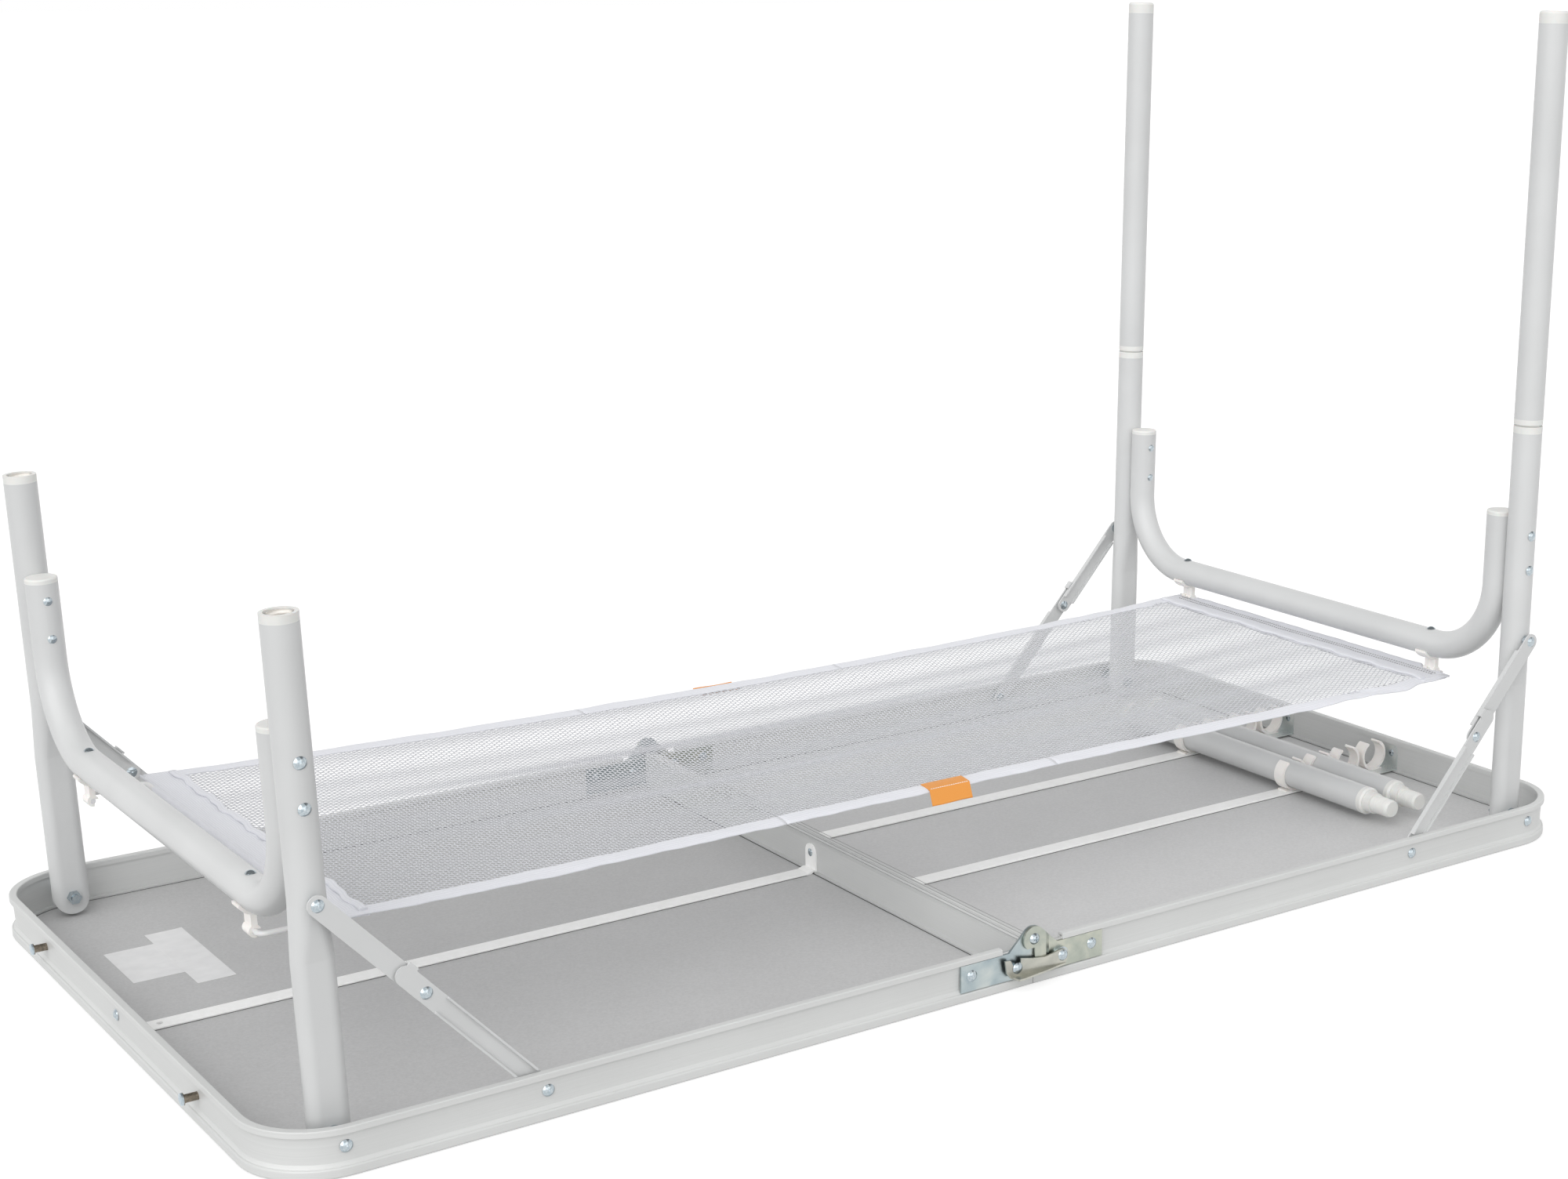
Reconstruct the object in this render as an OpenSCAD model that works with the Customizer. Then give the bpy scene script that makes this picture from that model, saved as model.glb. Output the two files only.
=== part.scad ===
// Folding table that closes like a case, shown open and lying on its top.
// X runs along the table, Y across it, Z up from the face of the table top.
// The origin is the middle of the table top, on the fold.

/* [Table top] */
// Length of the open table top
table_len = 1200; // [1100:10:1300]
// Width of the table top
table_wid = 614; // [580:2:680]
// Outside radius of the four corners
corner_r = 58; // [45:1:75]
// Gap between the two halves at the fold
fold_gap = 0.6; // [0.2:0.1:1.5]
// Thickness of each top panel
panel_t = 3.5; // [3:0.1:4.5]

/* [Frame rail] */
// Height of the rail around each half
rail_h = 34.5; // [32:0.5:38]
// Wall of the rail's extrusion
rail_wall = 1.5; // [1.2:0.1:1.8]
// Width of the lip along the rail's free edge
lip_w = 6; // [5.5:0.1:7]
// Height of that lip
lip_h = 4.5; // [4:0.1:5.5]
// Depth of the cove at the lip
cove_top = 2; // [1:0.1:2.4]
// Depth of the cove at its deepest
cove_depth = 3.2; // [2.6:0.1:3.6]
// Height of the rounded bead along the table-top edge
bead_h = 7.5; // [6.5:0.1:9]
// Reach of the ledge over the panel, from the rail's outer face
ledge_reach = 9; // [8:0.1:12]
// Reach of the rim around the panel's face, from the rail's outer face
rim_reach = 8; // [7:0.1:9]

/* [Centre bars and strips] */
// Width of the lip along a centre bar
bar_lip_w = 5; // [4.5:0.1:6]
// Width of a centre bar below its lip
bar_w = 5.3; // [4.8:0.1:6.2]
// Width of a stiffening strip
strip_w = 16; // [12:1:22]
// Thickness of a strip
strip_t = 1.5; // [1:0.1:2]
// Height of the rivet that holds a strip's tab
strip_rivet_z = 20.4; // [16:0.2:23]
// Distance of the right half's strips from the middle
strip_y = 74.3; // [60:0.1:100]

/* [Legs] */
// Outside diameter of the leg tubes
tube_od = 25; // [22:0.5:27]
// Wall of the tubes
tube_wall = 1.2; // [0.8:0.1:1.5]
// Thickness of a leg where it is flattened
flat_t = 17; // [14:0.5:20]
// Distance from a leg's pivot to the end of the table
leg_end = 52.8; // [45:0.2:75]
// Height of the pivots
pivot_z = 20.7; // [18:0.1:23]
// Distance of a leg's axis from the rail's outer face
leg_inset = 32; // [30:0.5:38]
// Outward lean of the open legs
rake = 1.5; // [0:0.1:3]
// Length of a leg tube above its pivot
leg_len = 344; // [320:2:380]
// Radius of the leg's closed end around its pivot
leg_end_r = 14.5; // [13:0.1:16]
// Diameter of the pivot bolts
bolt_d = 6; // [5:0.5:7]

/* [U-bars] */
// Height of the cross tube above the pivot
cross_s = 136; // [125:1:150]
// Centreline radius of the bends
bend_r = 70; // [55:1:85]
// Height of the U-bar's ends above the pivot
u_end_s = 268; // [255:1:300]
// Distance of the clip screws from the middle
net_clip_y = 173; // [140:1:178]

/* [Braces] */
// Distance along the table from a brace's foot to the leg's pivot
brace_run = 142.6; // [130:0.2:155]
// Height of the brace's upper rivet above the leg's pivot
brace_s = 161.2; // [155:0.2:175]
// Width of a brace arm
brace_w = 14; // [12:0.5:16]
// Thickness of a brace arm
brace_t = 1.5; // [1.2:0.1:2]
// Reach of the lower arm past the middle rivet
brace_reach = 20; // [16:0.5:26]

/* [Leg extensions] */
// Length of an extension from its shoulder to its foot
ext_len = 350; // [320:2:370]
// Height of the extension's foot
foot_h = 10.5; // [8:0.5:14]
// Height of its collar
collar_h = 6; // [4:0.5:9]
// Length of its spigot
spigot_len = 29; // [24:1:34]
// Diameter of the spigot's screwed part
thread_d = 16.4; // [14:0.2:17]
// Diameter of the spigot's shoulder
shoulder_d = 19.2; // [18:0.2:20]

/* [Hinges and latches] */
// Height of the fold's pivots
hinge_z = 37.5; // [36:0.1:40]
// Radius of a hinge plate's ear
ear_r = 10; // [9:0.1:11]
// Distance from the fold to the end of a hinge plate
plate_x = 66.8; // [62:0.2:80]
// Thickness of a hinge plate
plate_t = 2; // [1.5:0.1:2]
// Distance from the fold to a latch's pivot
latch_x = 25.8; // [24:0.2:28]
// Distance from the fold to the pin that a latch hooks
latch_pin_x = 17.5; // [16:0.1:19]
// Height of a latch's pivot
latch_z = 19; // [18:0.1:20]

/* [Clips and stored tubes] */
// Distance from the last clip to the end of the table
clip_end = 25; // [20:0.5:40]
// Distance from one clip to the next
clip_pitch = 34; // [33:0.5:36]
// Distance of the clips from the middle
clip_y = 74; // [60:1:100]
// Width of a clip along the tube
clip_w = 12; // [9:0.5:15]
// Wall of a clip
clip_wall = 2.5; // [2:0.1:2.8]

/* [Net shelf] */
// Height of the shelf's ends
net_z = 130; // [120:1:140]
// Distance from the fold to the net's left edge
net_left_x = 503; // [470:1:510]
// How far the net hangs down in the middle
net_sag = 14; // [5:1:40]
// How far the net's near edge draws in at its middle
net_draw = 31; // [10:1:60]
// How far the net's far edge draws in at its middle
net_far_draw = 16; // [5:1:60]
// Thickness of the net
net_t = 1.2; // [0.8:0.1:2]
// Diameter of the coated wire in the net's ends
wire_d = 4; // [3:0.2:5]

/* [Hidden] */
$fn = 64;

// Clearance between fitted pieces of one body, and of a pin in its hole
play = 0.1;
run = 0.05;
// Overrun of every cut
cut = 1;

half_len = table_len / 2;
leg_x = half_len - leg_end;
brace_x = leg_x - brace_run;
half_wid = table_wid / 2;
near = -1;
far = 1;

// Heights and depths of the rail's section, from the outermost face
tongue_t = 2;
ledge_t = 1.5;
edge_r = 1.5;
lip_r = 0.9;
cove_rise = 2.5;
groove_in = 0.5;
lip_z = rail_h - lip_h;
wall_in = cove_depth + rail_wall;
rim_t = panel_t - tongue_t;
ledge_top = panel_t + ledge_t;
groove_u = wall_in + groove_in;
cove_low_z = bead_h + cove_rise;
arc_steps = 5;
cove_steps = 6;
left_strip_y = 3.7;

// Rivets
rivet_r = 2.5;
head_r = 4.5;
head_h = 2;
tail_h = 1.2;
pin_r = 2.95;
pin_head_r = 4.35;
pin_out = 12;
pin_head_h = 2.2;
hanging_pin_y = 169.6;
hanging_pin_z = 19.7;
side_rivet_z = 20.6;
plate_rivet_z = 20.3;
plate_rivet_in = 10.1;

// Legs
tube_r = tube_od / 2;
bore_r = tube_r - tube_wall;
bolt_r = bolt_d / 2;
flat_top_s = 120;
round_from_s = brace_s - 1;
flat_half_w = leg_end_r - flat_t / 2;
slice = 0.2;
spacer_r = 6.5;
nut_r = 5.6;
nut_h = 4.5;
bolt_end = 1.5;
u_y = half_wid - leg_inset - tube_od - play;
rivet_down = [44.3, 13.7];
rivet_s = [for (d = rivet_down) u_end_s - d];
leg_y = half_wid - leg_inset;
socket_h = 6;
socket_depth = 30;
cap_h = 4;
cap_plug_h = 8;
cap_r = 1.5;
plug_r = bore_r - play;

// Braces: the arms are straight when open and fold back on each other
brace_stand = 4.3;
brace_space = 2.1;
stop_gap = 0.3;
lower_u = wall_in + brace_stand;
upper_u = lower_u + brace_t + brace_space;
flange_h = leg_inset - tube_r - head_h - 2 * stop_gap - upper_u - brace_t;
lower_flange_h = lower_u - lip_w - stop_gap;
stop_t = 1.6;
stop_w = 8;
brace_top = [leg_x + brace_s * sin(rake), pivot_z + brace_s * cos(rake)];
brace_foot = [brace_x, pivot_z];
brace_span = norm(brace_top - brace_foot);
brace_diff = brace_s - brace_run;
lower_arm = (brace_span + brace_diff) / 2;
upper_arm = (brace_span - brace_diff) / 2;
brace_angle = atan2(brace_top[1] - brace_foot[1], brace_top[0] - brace_foot[0]);

// Extensions
shoulder_h = 8;
thread_h = spigot_len - shoulder_h;
ext_plug_h = 14;
foot_r = 2.5;
foot_plug_h = 14;
spigot_chamfer = 1.2;
thread_pitch = 2.4;

// Hinges and latches
joggle_out = 2.3;
head_gap = 0.3;
plate_top = lip_z - head_gap;
plate_low = 8.3;
notch_x = 28.5;
ear_gap = 0.8;
ear_neck_x = 15;
lever_u = 2.6;
lever_t = 1.5;
latch_pin_z = 18.4;
lever_flange = 9.4;
latch_rivet_r = 2.4;
washer_r = 6.2;
screw_head_r = 4.6;
screw_head_h = 2.5;
backing_t = 1;

// Clips
strip_top = panel_t + run + strip_t;
clip_seat = 0.55;
clip_play = 0.3;
clip_bore = tube_r + clip_play;
stored_z = strip_top + run + clip_seat + clip_wall + clip_bore;
clip_open = 35;
clip_foot_w = 20;
clip_foot_h = 1.3;
bracket_t = 0.8;
bracket_w = 26;
bracket_h = 23;
bracket_shift = 4;
bracket_screw_shift = 9;
stored_shoulder_y = -181;

// Net
net_axis_x = 3;
net_axis_s = net_z - pivot_z;
wire_r = wire_d / 2;
hook_t = 2.4;
net_clip_w = 13;
saddle_t = 2.4;
net_split_x = 130;
net_join = 0.4;
net_right_x = leg_x + net_axis_s * sin(rake) + net_axis_x * cos(rake) - wire_r - net_join;
net_near = [-190, -198];
net_far = [209, 187];
net_cells = 8;
net_cell_x = 34;
net_gap_share = 0.7;
// Sag of the near edge, the far edge and the belly between them
net_sag_shares = [0.7, 0.25, 0.5];

function cove_u(z) = let (t = (lip_z - z) / (lip_z - cove_low_z))
  cove_top + (cove_depth - cove_top) * (1 - pow(1 - t, 2));
function arc(c, r, a0, a1, n = arc_steps) =
  [for (i = [0:n]) let (a = a0 + (a1 - a0) * i / n) [c[0] + r * cos(a), c[1] + r * sin(a)]];
// Depth at which a rivet's head clears the cove's slope
function cove_seat(z) = cove_u(z + head_r) - run;
function cap_radius(r, h) = (r * r + h * h) / (2 * h);

// The left half is the right half mirrored, apart from what lies in it
module on_side(side) { if (side < 0) mirror([1, 0, 0]) children(); else children(); }

// Local z runs inwards from the outermost face of a long rail
module at_rail(x, z, edge) { translate([x, edge * half_wid, z]) rotate([edge * 90, 0, 0]) children(); }

module dome(r, h) {
  rotate_extrude() intersection() {
    translate([0, h - cap_radius(r, h)]) circle(r = cap_radius(r, h));
    square([r, h]);
  }
}

// Rivet along z from its outer seat to its inner one, with a dome outside
module rivet(from, to, r = rivet_r, hr = head_r, hh = head_h, tr = head_r, th = tail_h) {
  translate([0, 0, from]) mirror([0, 0, 1]) dome(hr, hh);
  translate([0, 0, from]) cylinder(r = r, h = to - from);
  translate([0, 0, to]) dome(tr, th);
}

// Two circles joined by their outer tangents
module link(p, r1, q, r2) {
  d = q - p;
  a = atan2(d[1], d[0]);
  b = acos((r1 - r2) / norm(d));
  translate(p) circle(r = r1);
  translate(q) circle(r = r2);
  polygon([
    p + r1 * [cos(a + b), sin(a + b)], p + r1 * [cos(a - b), sin(a - b)],
    q + r2 * [cos(a - b), sin(a - b)], q + r2 * [cos(a + b), sin(a + b)]
  ]);
}

module rail_profile() {
  difference() {
    polygon(concat(
      [[rim_reach, 0]],
      arc([edge_r, edge_r], edge_r, 270, 180),
      arc([edge_r, bead_h - edge_r], edge_r, 180, 90),
      [for (i = [0:cove_steps]) let (z = cove_low_z + (lip_z - cove_low_z) * i / cove_steps) [cove_u(z), z]],
      [[0, lip_z]],
      arc([lip_r, rail_h - lip_r], lip_r, 180, 90),
      arc([lip_w - lip_r, rail_h - lip_r], lip_r, 90, 0),
      [[lip_w, lip_z], [wall_in, lip_z], [wall_in, ledge_top], [ledge_reach, ledge_top]],
      [[ledge_reach, panel_t], [groove_u, panel_t], [groove_u, rim_t], [rim_reach, rim_t]]
    ));
    translate([rail_wall, lip_z + rail_wall]) square([lip_w - 2 * rail_wall, lip_h - 2 * rail_wall]);
    translate([rail_wall, rail_wall]) square([groove_u - 2 * rail_wall, bead_h - 2 * rail_wall]);
  }
}

// Rail around one half: two long runs, two corners and the end
module frame_rail(pivot_holes) {
  run_len = half_len - corner_r - fold_gap / 2;
  difference() {
    union() {
      for (edge = [near, far]) scale_y(edge) {
        translate([fold_gap / 2, -half_wid, 0]) rotate([90, 0, 90]) linear_extrude(run_len) rail_profile();
        translate([half_len - corner_r, corner_r - half_wid, 0]) rotate([0, 0, -90])
          rotate_extrude(angle = 90) translate([corner_r, 0]) mirror([1, 0]) rail_profile();
      }
      translate([half_len, half_wid - corner_r, 0]) mirror([1, 0, 0]) rotate([90, 0, 0])
        linear_extrude(table_wid - 2 * corner_r) rail_profile();
    }
    for (edge = [near, far]) {
      for (h = pivot_holes) at_rail(h[0], h[1], edge) cylinder(r = h[2], h = wall_in + cut);
      // The lip is cut away beside the hinge
      at_rail(-cut, 0, edge) translate([0, edge < 0 ? -rail_h - cut : lip_z, -cut])
        cube([notch_x + cut, lip_h + cut, lip_w + 2 * cut]);
    }
    children();
  }
}

module scale_y(edge) { if (edge > 0) mirror([0, 1, 0]) children(); else children(); }

rail_holes = [
  [leg_x, pivot_z, bolt_r + run],
  [brace_x, pivot_z, rivet_r + run],
  [plate_x - plate_rivet_in, plate_rivet_z, rivet_r + run]
];

module right_frame_rail() {
  color("gainsboro") frame_rail(concat(rail_holes, [[latch_x, latch_z, latch_rivet_r + run]]))
    for (y = [-clip_y, clip_y])
      translate([half_len - wall_in - cut, y - bracket_screw_shift, side_rivet_z]) rotate([0, 90, 0])
        cylinder(r = rivet_r - play, h = wall_in + 2 * cut);
}

module left_frame_rail() {
  color("gainsboro") mirror([1, 0, 0]) frame_rail(concat(rail_holes,
    [[latch_pin_x, latch_pin_z, rivet_r + run]]))
    for (y = [-hanging_pin_y, 0, hanging_pin_y])
      translate([half_len - wall_in - cut, y, y == 0 ? side_rivet_z : hanging_pin_z]) rotate([0, 90, 0])
        cylinder(r = (y == 0 ? rivet_r : pin_r) + run, h = wall_in + 2 * cut);
}

// One half's plate outline, drawn in from the frame's faces
module half_outline(inset) {
  r = corner_r - inset;
  x0 = fold_gap / 2 + inset;
  translate([x0, inset - half_wid]) square([half_len - corner_r - x0, table_wid - 2 * inset]);
  translate([x0, corner_r - half_wid]) square([half_len - inset - x0, table_wid - 2 * corner_r]);
  for (edge = [near, far]) translate([half_len - corner_r, edge * (half_wid - corner_r)]) circle(r = r);
}

module top_panel() {
  linear_extrude(rim_t + play) half_outline(rim_reach + play);
  translate([0, 0, rim_t + play]) linear_extrude(panel_t - rim_t - play - run)
    half_outline(groove_u + play);
}
module right_top_panel() { color("silver") top_panel(); }
module left_top_panel() { color("silver") mirror([1, 0, 0]) top_panel(); }

bar_foot = rim_reach;
bar_step = 0.8;

module bar_profile() {
  difference() {
    polygon(concat(
      [[bar_foot, 0], [0, 0]],
      arc([lip_r, rail_h - lip_r], lip_r, 180, 90),
      arc([bar_lip_w - lip_r, rail_h - lip_r], lip_r, 90, 0),
      [[bar_lip_w, lip_z + bar_step], [bar_w, lip_z + bar_step], [bar_w, ledge_top], [bar_foot, ledge_top]],
      [[bar_foot, panel_t], [groove_u, panel_t], [groove_u, rim_t], [bar_foot, rim_t]]
    ));
    translate([rail_wall, rail_wall]) square([bar_lip_w - 2 * rail_wall, rail_h - 2 * rail_wall]);
  }
}

// Straight bar along the fold, with its foot cut back for the long rails
module centre_bar() {
  end_y = half_wid - lip_w - play;
  foot_y = half_wid - ledge_reach - play;
  difference() {
    translate([fold_gap / 2, end_y, 0]) rotate([90, 0, 0]) linear_extrude(2 * end_y) bar_profile();
    for (edge = [near, far]) scale_y(edge)
      translate([-cut, -half_wid, -cut]) cube([bar_foot + 3 * cut, half_wid - foot_y,
        ledge_top + play + cut]);
    children();
  }
}
module tab_holes(ys) {
  for (y = ys) translate([-cut, y, strip_rivet_z]) rotate([0, 90, 0])
    cylinder(r = rivet_r + run, h = bar_foot + 3 * cut);
}
right_strip_ys = [-strip_y, strip_y];
left_strip_ys = [left_strip_y];
module right_centre_bar() { color("gainsboro") centre_bar() tab_holes(right_strip_ys); }
module left_centre_bar() { color("gainsboro") mirror([1, 0, 0]) centre_bar() tab_holes(left_strip_ys); }

// Strip on the panel, bent up against the centre bar and riveted to it
module strip(y, hole_x = 0) {
  z0 = panel_t + run;
  x0 = fold_gap / 2 + bar_w + play;
  foot_x = fold_gap / 2 + bar_foot + play;
  over = ledge_top + run;
  end_x = half_len - ledge_reach - play;
  tab_top = strip_rivet_z + strip_w / 2;
  bevel = strip_t / 3;
  difference() {
    union() {
      translate([foot_x + 3 * strip_t, y, z0]) rotate([90, 0, 90])
        linear_extrude(end_x - foot_x - 3 * strip_t)
        polygon([
          [-strip_w / 2, 0], [strip_w / 2, 0], [strip_w / 2, strip_t - bevel],
          [strip_w / 2 - bevel, strip_t], [bevel - strip_w / 2, strip_t], [-strip_w / 2, strip_t - bevel]
        ]);
      intersection() {
        translate([0, y + strip_w / 2, 0]) rotate([90, 0, 0]) linear_extrude(strip_w) polygon([
          [x0, over], [x0, tab_top], [x0 + strip_t, tab_top], [x0 + strip_t, over + strip_t],
          [foot_x + strip_t, over + strip_t], [foot_x + 4 * strip_t, z0 + strip_t],
          [foot_x + 4 * strip_t, z0], [foot_x + 2 * strip_t, z0], [foot_x + strip_t / 3, over]
        ]);
        translate([x0 - cut, y, 0]) rotate([90, 0, 90]) linear_extrude(foot_x + 5 * strip_t) union() {
          translate([-strip_w / 2, 0]) square([strip_w, strip_rivet_z]);
          translate([0, strip_rivet_z]) circle(r = strip_w / 2);
        }
      }
    }
    translate([x0 - cut, y, strip_rivet_z]) rotate([0, 90, 0])
      cylinder(r = rivet_r + run, h = strip_t + 2 * cut);
    if (hole_x > 0) translate([hole_x, y, z0 - cut]) cylinder(r = rivet_r - play, h = strip_t + 2 * cut);
  }
}
module right_strips() { color("whitesmoke") for (y = right_strip_ys) strip(y); }
strip_hole_in = 34;
module left_strip() {
  color("whitesmoke") mirror([1, 0, 0]) strip(left_strip_ys[0], half_len - strip_hole_in);
}

// Snap clip for a tube of bore radius r, standing on its foot
module tube_clip(x, y, r, foot_z) {
  tip = r + clip_wall / 2;
  translate([x, y + clip_w / 2, 0]) rotate([90, 0, 0]) linear_extrude(clip_w) difference() {
    union() {
      difference() {
        translate([0, stored_z]) circle(r = r + clip_wall);
        translate([0, stored_z]) polygon([
          [0, 0], 2 * r * [sin(clip_open), cos(clip_open)], 2 * r * [-sin(clip_open), cos(clip_open)]
        ]);
        translate([-clip_foot_w, 0]) square([2 * clip_foot_w, foot_z]);
      }
      for (s = [-1, 1]) translate([s * tip * sin(clip_open), stored_z + tip * cos(clip_open)])
        circle(r = clip_wall / 2);
      translate([-clip_foot_w / 2, foot_z]) square([clip_foot_w, clip_foot_h]);
      translate([-clip_foot_w / 4, foot_z]) square([clip_foot_w / 2, 2 * clip_wall]);
    }
    translate([0, stored_z]) circle(r = r);
  }
}
clip_xs = [for (i = [3:-1:0]) half_len - clip_end - i * clip_pitch];
module filled_clips() {
  color("seashell") for (y = [-clip_y, clip_y], i = [0, 1])
    tube_clip(clip_xs[i], y, clip_bore, strip_top + run);
}
module empty_clips() {
  color("seashell") for (y = [-clip_y, clip_y], i = [2, 3])
    tube_clip(clip_xs[i], y, tube_r, strip_top + run + (i == 3 ? bracket_t + run : 0));
}

// Angle brackets that hold the last pair of clips to the end rail
module clip_brackets() {
  wall_x = half_len - wall_in - run;
  foot_x = clip_xs[3] - clip_foot_w / 2;
  color("silver") for (y = [-clip_y, clip_y])
    translate([0, y - bracket_shift - bracket_w / 2, strip_top + run])
    difference() {
      intersection() {
        union() {
          translate([foot_x, 0, 0]) cube([wall_x - foot_x, bracket_w, bracket_t]);
          translate([wall_x - bracket_t, 0, 0]) cube([bracket_t, bracket_w, bracket_h]);
        }
        // Its upper corners are rounded
        rotate([90, 0, 90]) linear_extrude(half_len) union() {
          square([bracket_w, bracket_h - head_r]);
          translate([head_r, 0]) square([bracket_w - 2 * head_r, bracket_h]);
          for (v = [head_r, bracket_w - head_r]) translate([v, bracket_h - head_r]) circle(r = head_r);
        }
      }
      translate([wall_x - bracket_t - cut, bracket_w / 2 + bracket_shift - bracket_screw_shift,
        side_rivet_z - strip_top - run]) rotate([0, 90, 0])
          cylinder(r = rivet_r - play, h = bracket_t + 2 * cut);
    }
}

// Hinge plate with its ear around the fold's pivot; s is 1 for the right plate
module plate_outline(s) {
  neck = s > 0 ? notch_x : notch_x - ear_gap;
  difference() {
    union() {
      translate([fold_gap / 2, plate_low]) square([plate_x - fold_gap / 2, plate_top - plate_low]);
      link([0, hinge_z], ear_r, [neck - 2 * head_h, plate_top - 2 * head_h], head_h);
      link([0, hinge_z], ear_r, [ear_neck_x, plate_low + ear_r], head_h);
    }
    translate([-table_wid, -cut]) square([table_wid - ear_r - cut, 2 * rail_h]);
    translate([-ear_r - 2 * cut, 0]) square([ear_r + 2 * cut + fold_gap / 2, hinge_z - ear_r * cos(45)]);
    translate([0, hinge_z]) circle(r = rivet_r + (s > 0 ? play : run));
    translate([plate_x - plate_rivet_in, plate_rivet_z]) circle(r = rivet_r + run);
    if (s > 0) translate([latch_x, latch_z]) circle(r = latch_rivet_r + run);
    if (s < 0) translate([latch_pin_x, latch_pin_z]) circle(r = rivet_r + run);
  }
}

// Depth section of the right plate: its ear is set outwards past the left one
module joggle_section() {
  x1 = ear_r + ear_gap;
  x2 = x1 + joggle_out + plate_t;
  polygon([
    [-ear_r - cut, -joggle_out], [x1, -joggle_out], [x2, 0], [plate_x + cut, 0],
    [plate_x + cut, plate_t], [x2 - play, plate_t], [x1, plate_t - joggle_out],
      [-ear_r - cut, plate_t - joggle_out]
  ]);
}

module backing_plate() {
  difference() {
    translate([fold_gap / 2, ledge_top + play, wall_in + run])
      cube([plate_x - fold_gap / 2, lip_z - ledge_top - 2 * play, backing_t]);
    translate([plate_x - plate_rivet_in, plate_rivet_z, 0]) cylinder(r = rivet_r + run, h = 2 * wall_in);
    children();
  }
}

// Draws its children, given in fold distance and height, on both long rails
module on_rails() {
  translate([0, -half_wid, 0]) mirror([0, 1, 0]) rotate([90, 0, 0]) children();
  translate([0, half_wid, 0]) rotate([90, 0, 0]) children();
}

module right_hinge_plates() {
  color("lightgray") on_rails() {
    intersection() {
      translate([0, 0, -joggle_out]) linear_extrude(plate_t + joggle_out) plate_outline(1);
      translate([0, 2 * rail_h, 0]) rotate([90, 0, 0]) linear_extrude(2 * rail_h) joggle_section();
    }
    backing_plate() translate([latch_x, latch_z, 0]) cylinder(r = latch_rivet_r + run, h = 2 * wall_in);
  }
}

module left_hinge_plates() {
  color("lightgray") mirror([1, 0, 0]) on_rails() {
    linear_extrude(plate_t) plate_outline(-1);
    backing_plate() translate([latch_pin_x, latch_pin_z, 0]) cylinder(r = rivet_r + run, h = 2 * wall_in);
  }
}

// Screw and nut on which the halves turn
module hinge_screws() {
  recess = screw_head_h / 2;
  color("silver") on_rails() translate([0, hinge_z, 0]) {
    difference() {
      translate([0, 0, -joggle_out - run]) mirror([0, 0, 1]) dome(screw_head_r, screw_head_h);
      for (a = [0, 90]) rotate([0, 0, a])
        translate([-screw_head_r / 2, -recess / 3, -joggle_out - 2 * screw_head_h])
        cube([screw_head_r, recess * 2 / 3, screw_head_h + recess]);
    }
    translate([0, 0, -joggle_out - run]) cylinder(r = rivet_r, h = joggle_out + plate_t + nut_h);
    translate([0, 0, plate_t + run]) cylinder(r = nut_r - cut, h = nut_h - cut, $fn = 6);
  }
}

// Hooked latch lever, from its pivot on the right plate to the pin on the left one
module latch_outline() {
  hook = [-latch_pin_x, latch_pin_z];
  notch_r = rivet_r + head_gap;
  low = latch_z - 3.2 * rivet_r;
  difference() {
    union() {
      translate([latch_x, latch_z]) circle(r = ear_r / 2 + run);
      polygon([
        [latch_x, latch_z + ear_r / 2], [latch_x - rivet_r * 1.6, latch_z + rivet_r * 1.9],
        [latch_x - rivet_r * 4, latch_z + rivet_r * 1.4], [latch_x - rivet_r * 7, latch_z + rivet_r],
        [latch_x - rivet_r * 12, latch_z + rivet_r * 1.7],
          [hook[0] + notch_r + run, hook[1] + rivet_r * 2.9],
        [hook[0], hook[1] - notch_r], [hook[0] - notch_r - run, hook[1] + rivet_r * 2],
        [hook[0] - rivet_r * 3, hook[1] + rivet_r * 3.1],
          [hook[0] - rivet_r * 4.6, hook[1] + rivet_r * 3.1],
        [hook[0] - rivet_r * 4, hook[1] - rivet_r], [hook[0] - rivet_r * 2.4, low],
        [latch_x + rivet_r, low], [latch_x + rivet_r * 2, latch_z]
      ]);
    }
    translate(hook) circle(r = notch_r);
    translate(hook) polygon([[-notch_r, 0], [notch_r, 0], [notch_r * 1.25, ear_r],
      [-notch_r * 2.7, ear_r]]);
    translate([latch_x, latch_z]) circle(r = latch_rivet_r + run);
  }
}

module latch_lever(edge) {
  low = latch_z - 3.2 * rivet_r;
  from_x = -latch_pin_x - rivet_r * 2.4;
  color("silver") scale_y(edge) translate([0, -half_wid, 0]) mirror([0, 1, 0]) rotate([90, 0, 0]) {
    translate([0, 0, -lever_u - lever_t]) linear_extrude(lever_t) latch_outline();
    // Finger flange bent outwards along the lower edge
    translate([0, low + lever_t, 0]) rotate([90, 0, 0]) linear_extrude(lever_t) polygon([
      [from_x, -lever_u], [latch_x + rivet_r, -lever_u], [latch_x + rivet_r, -lever_u - lever_t - head_gap],
      [latch_x - rivet_r * 6, -lever_u - lever_flange * 0.55],
        [from_x + rivet_r * 3, -lever_u - lever_flange],
      [from_x + rivet_r, -lever_u - lever_flange]
    ]);
  }
}
module latch_lever_near() { latch_lever(near); }
module latch_lever_far() { latch_lever(far); }

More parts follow.
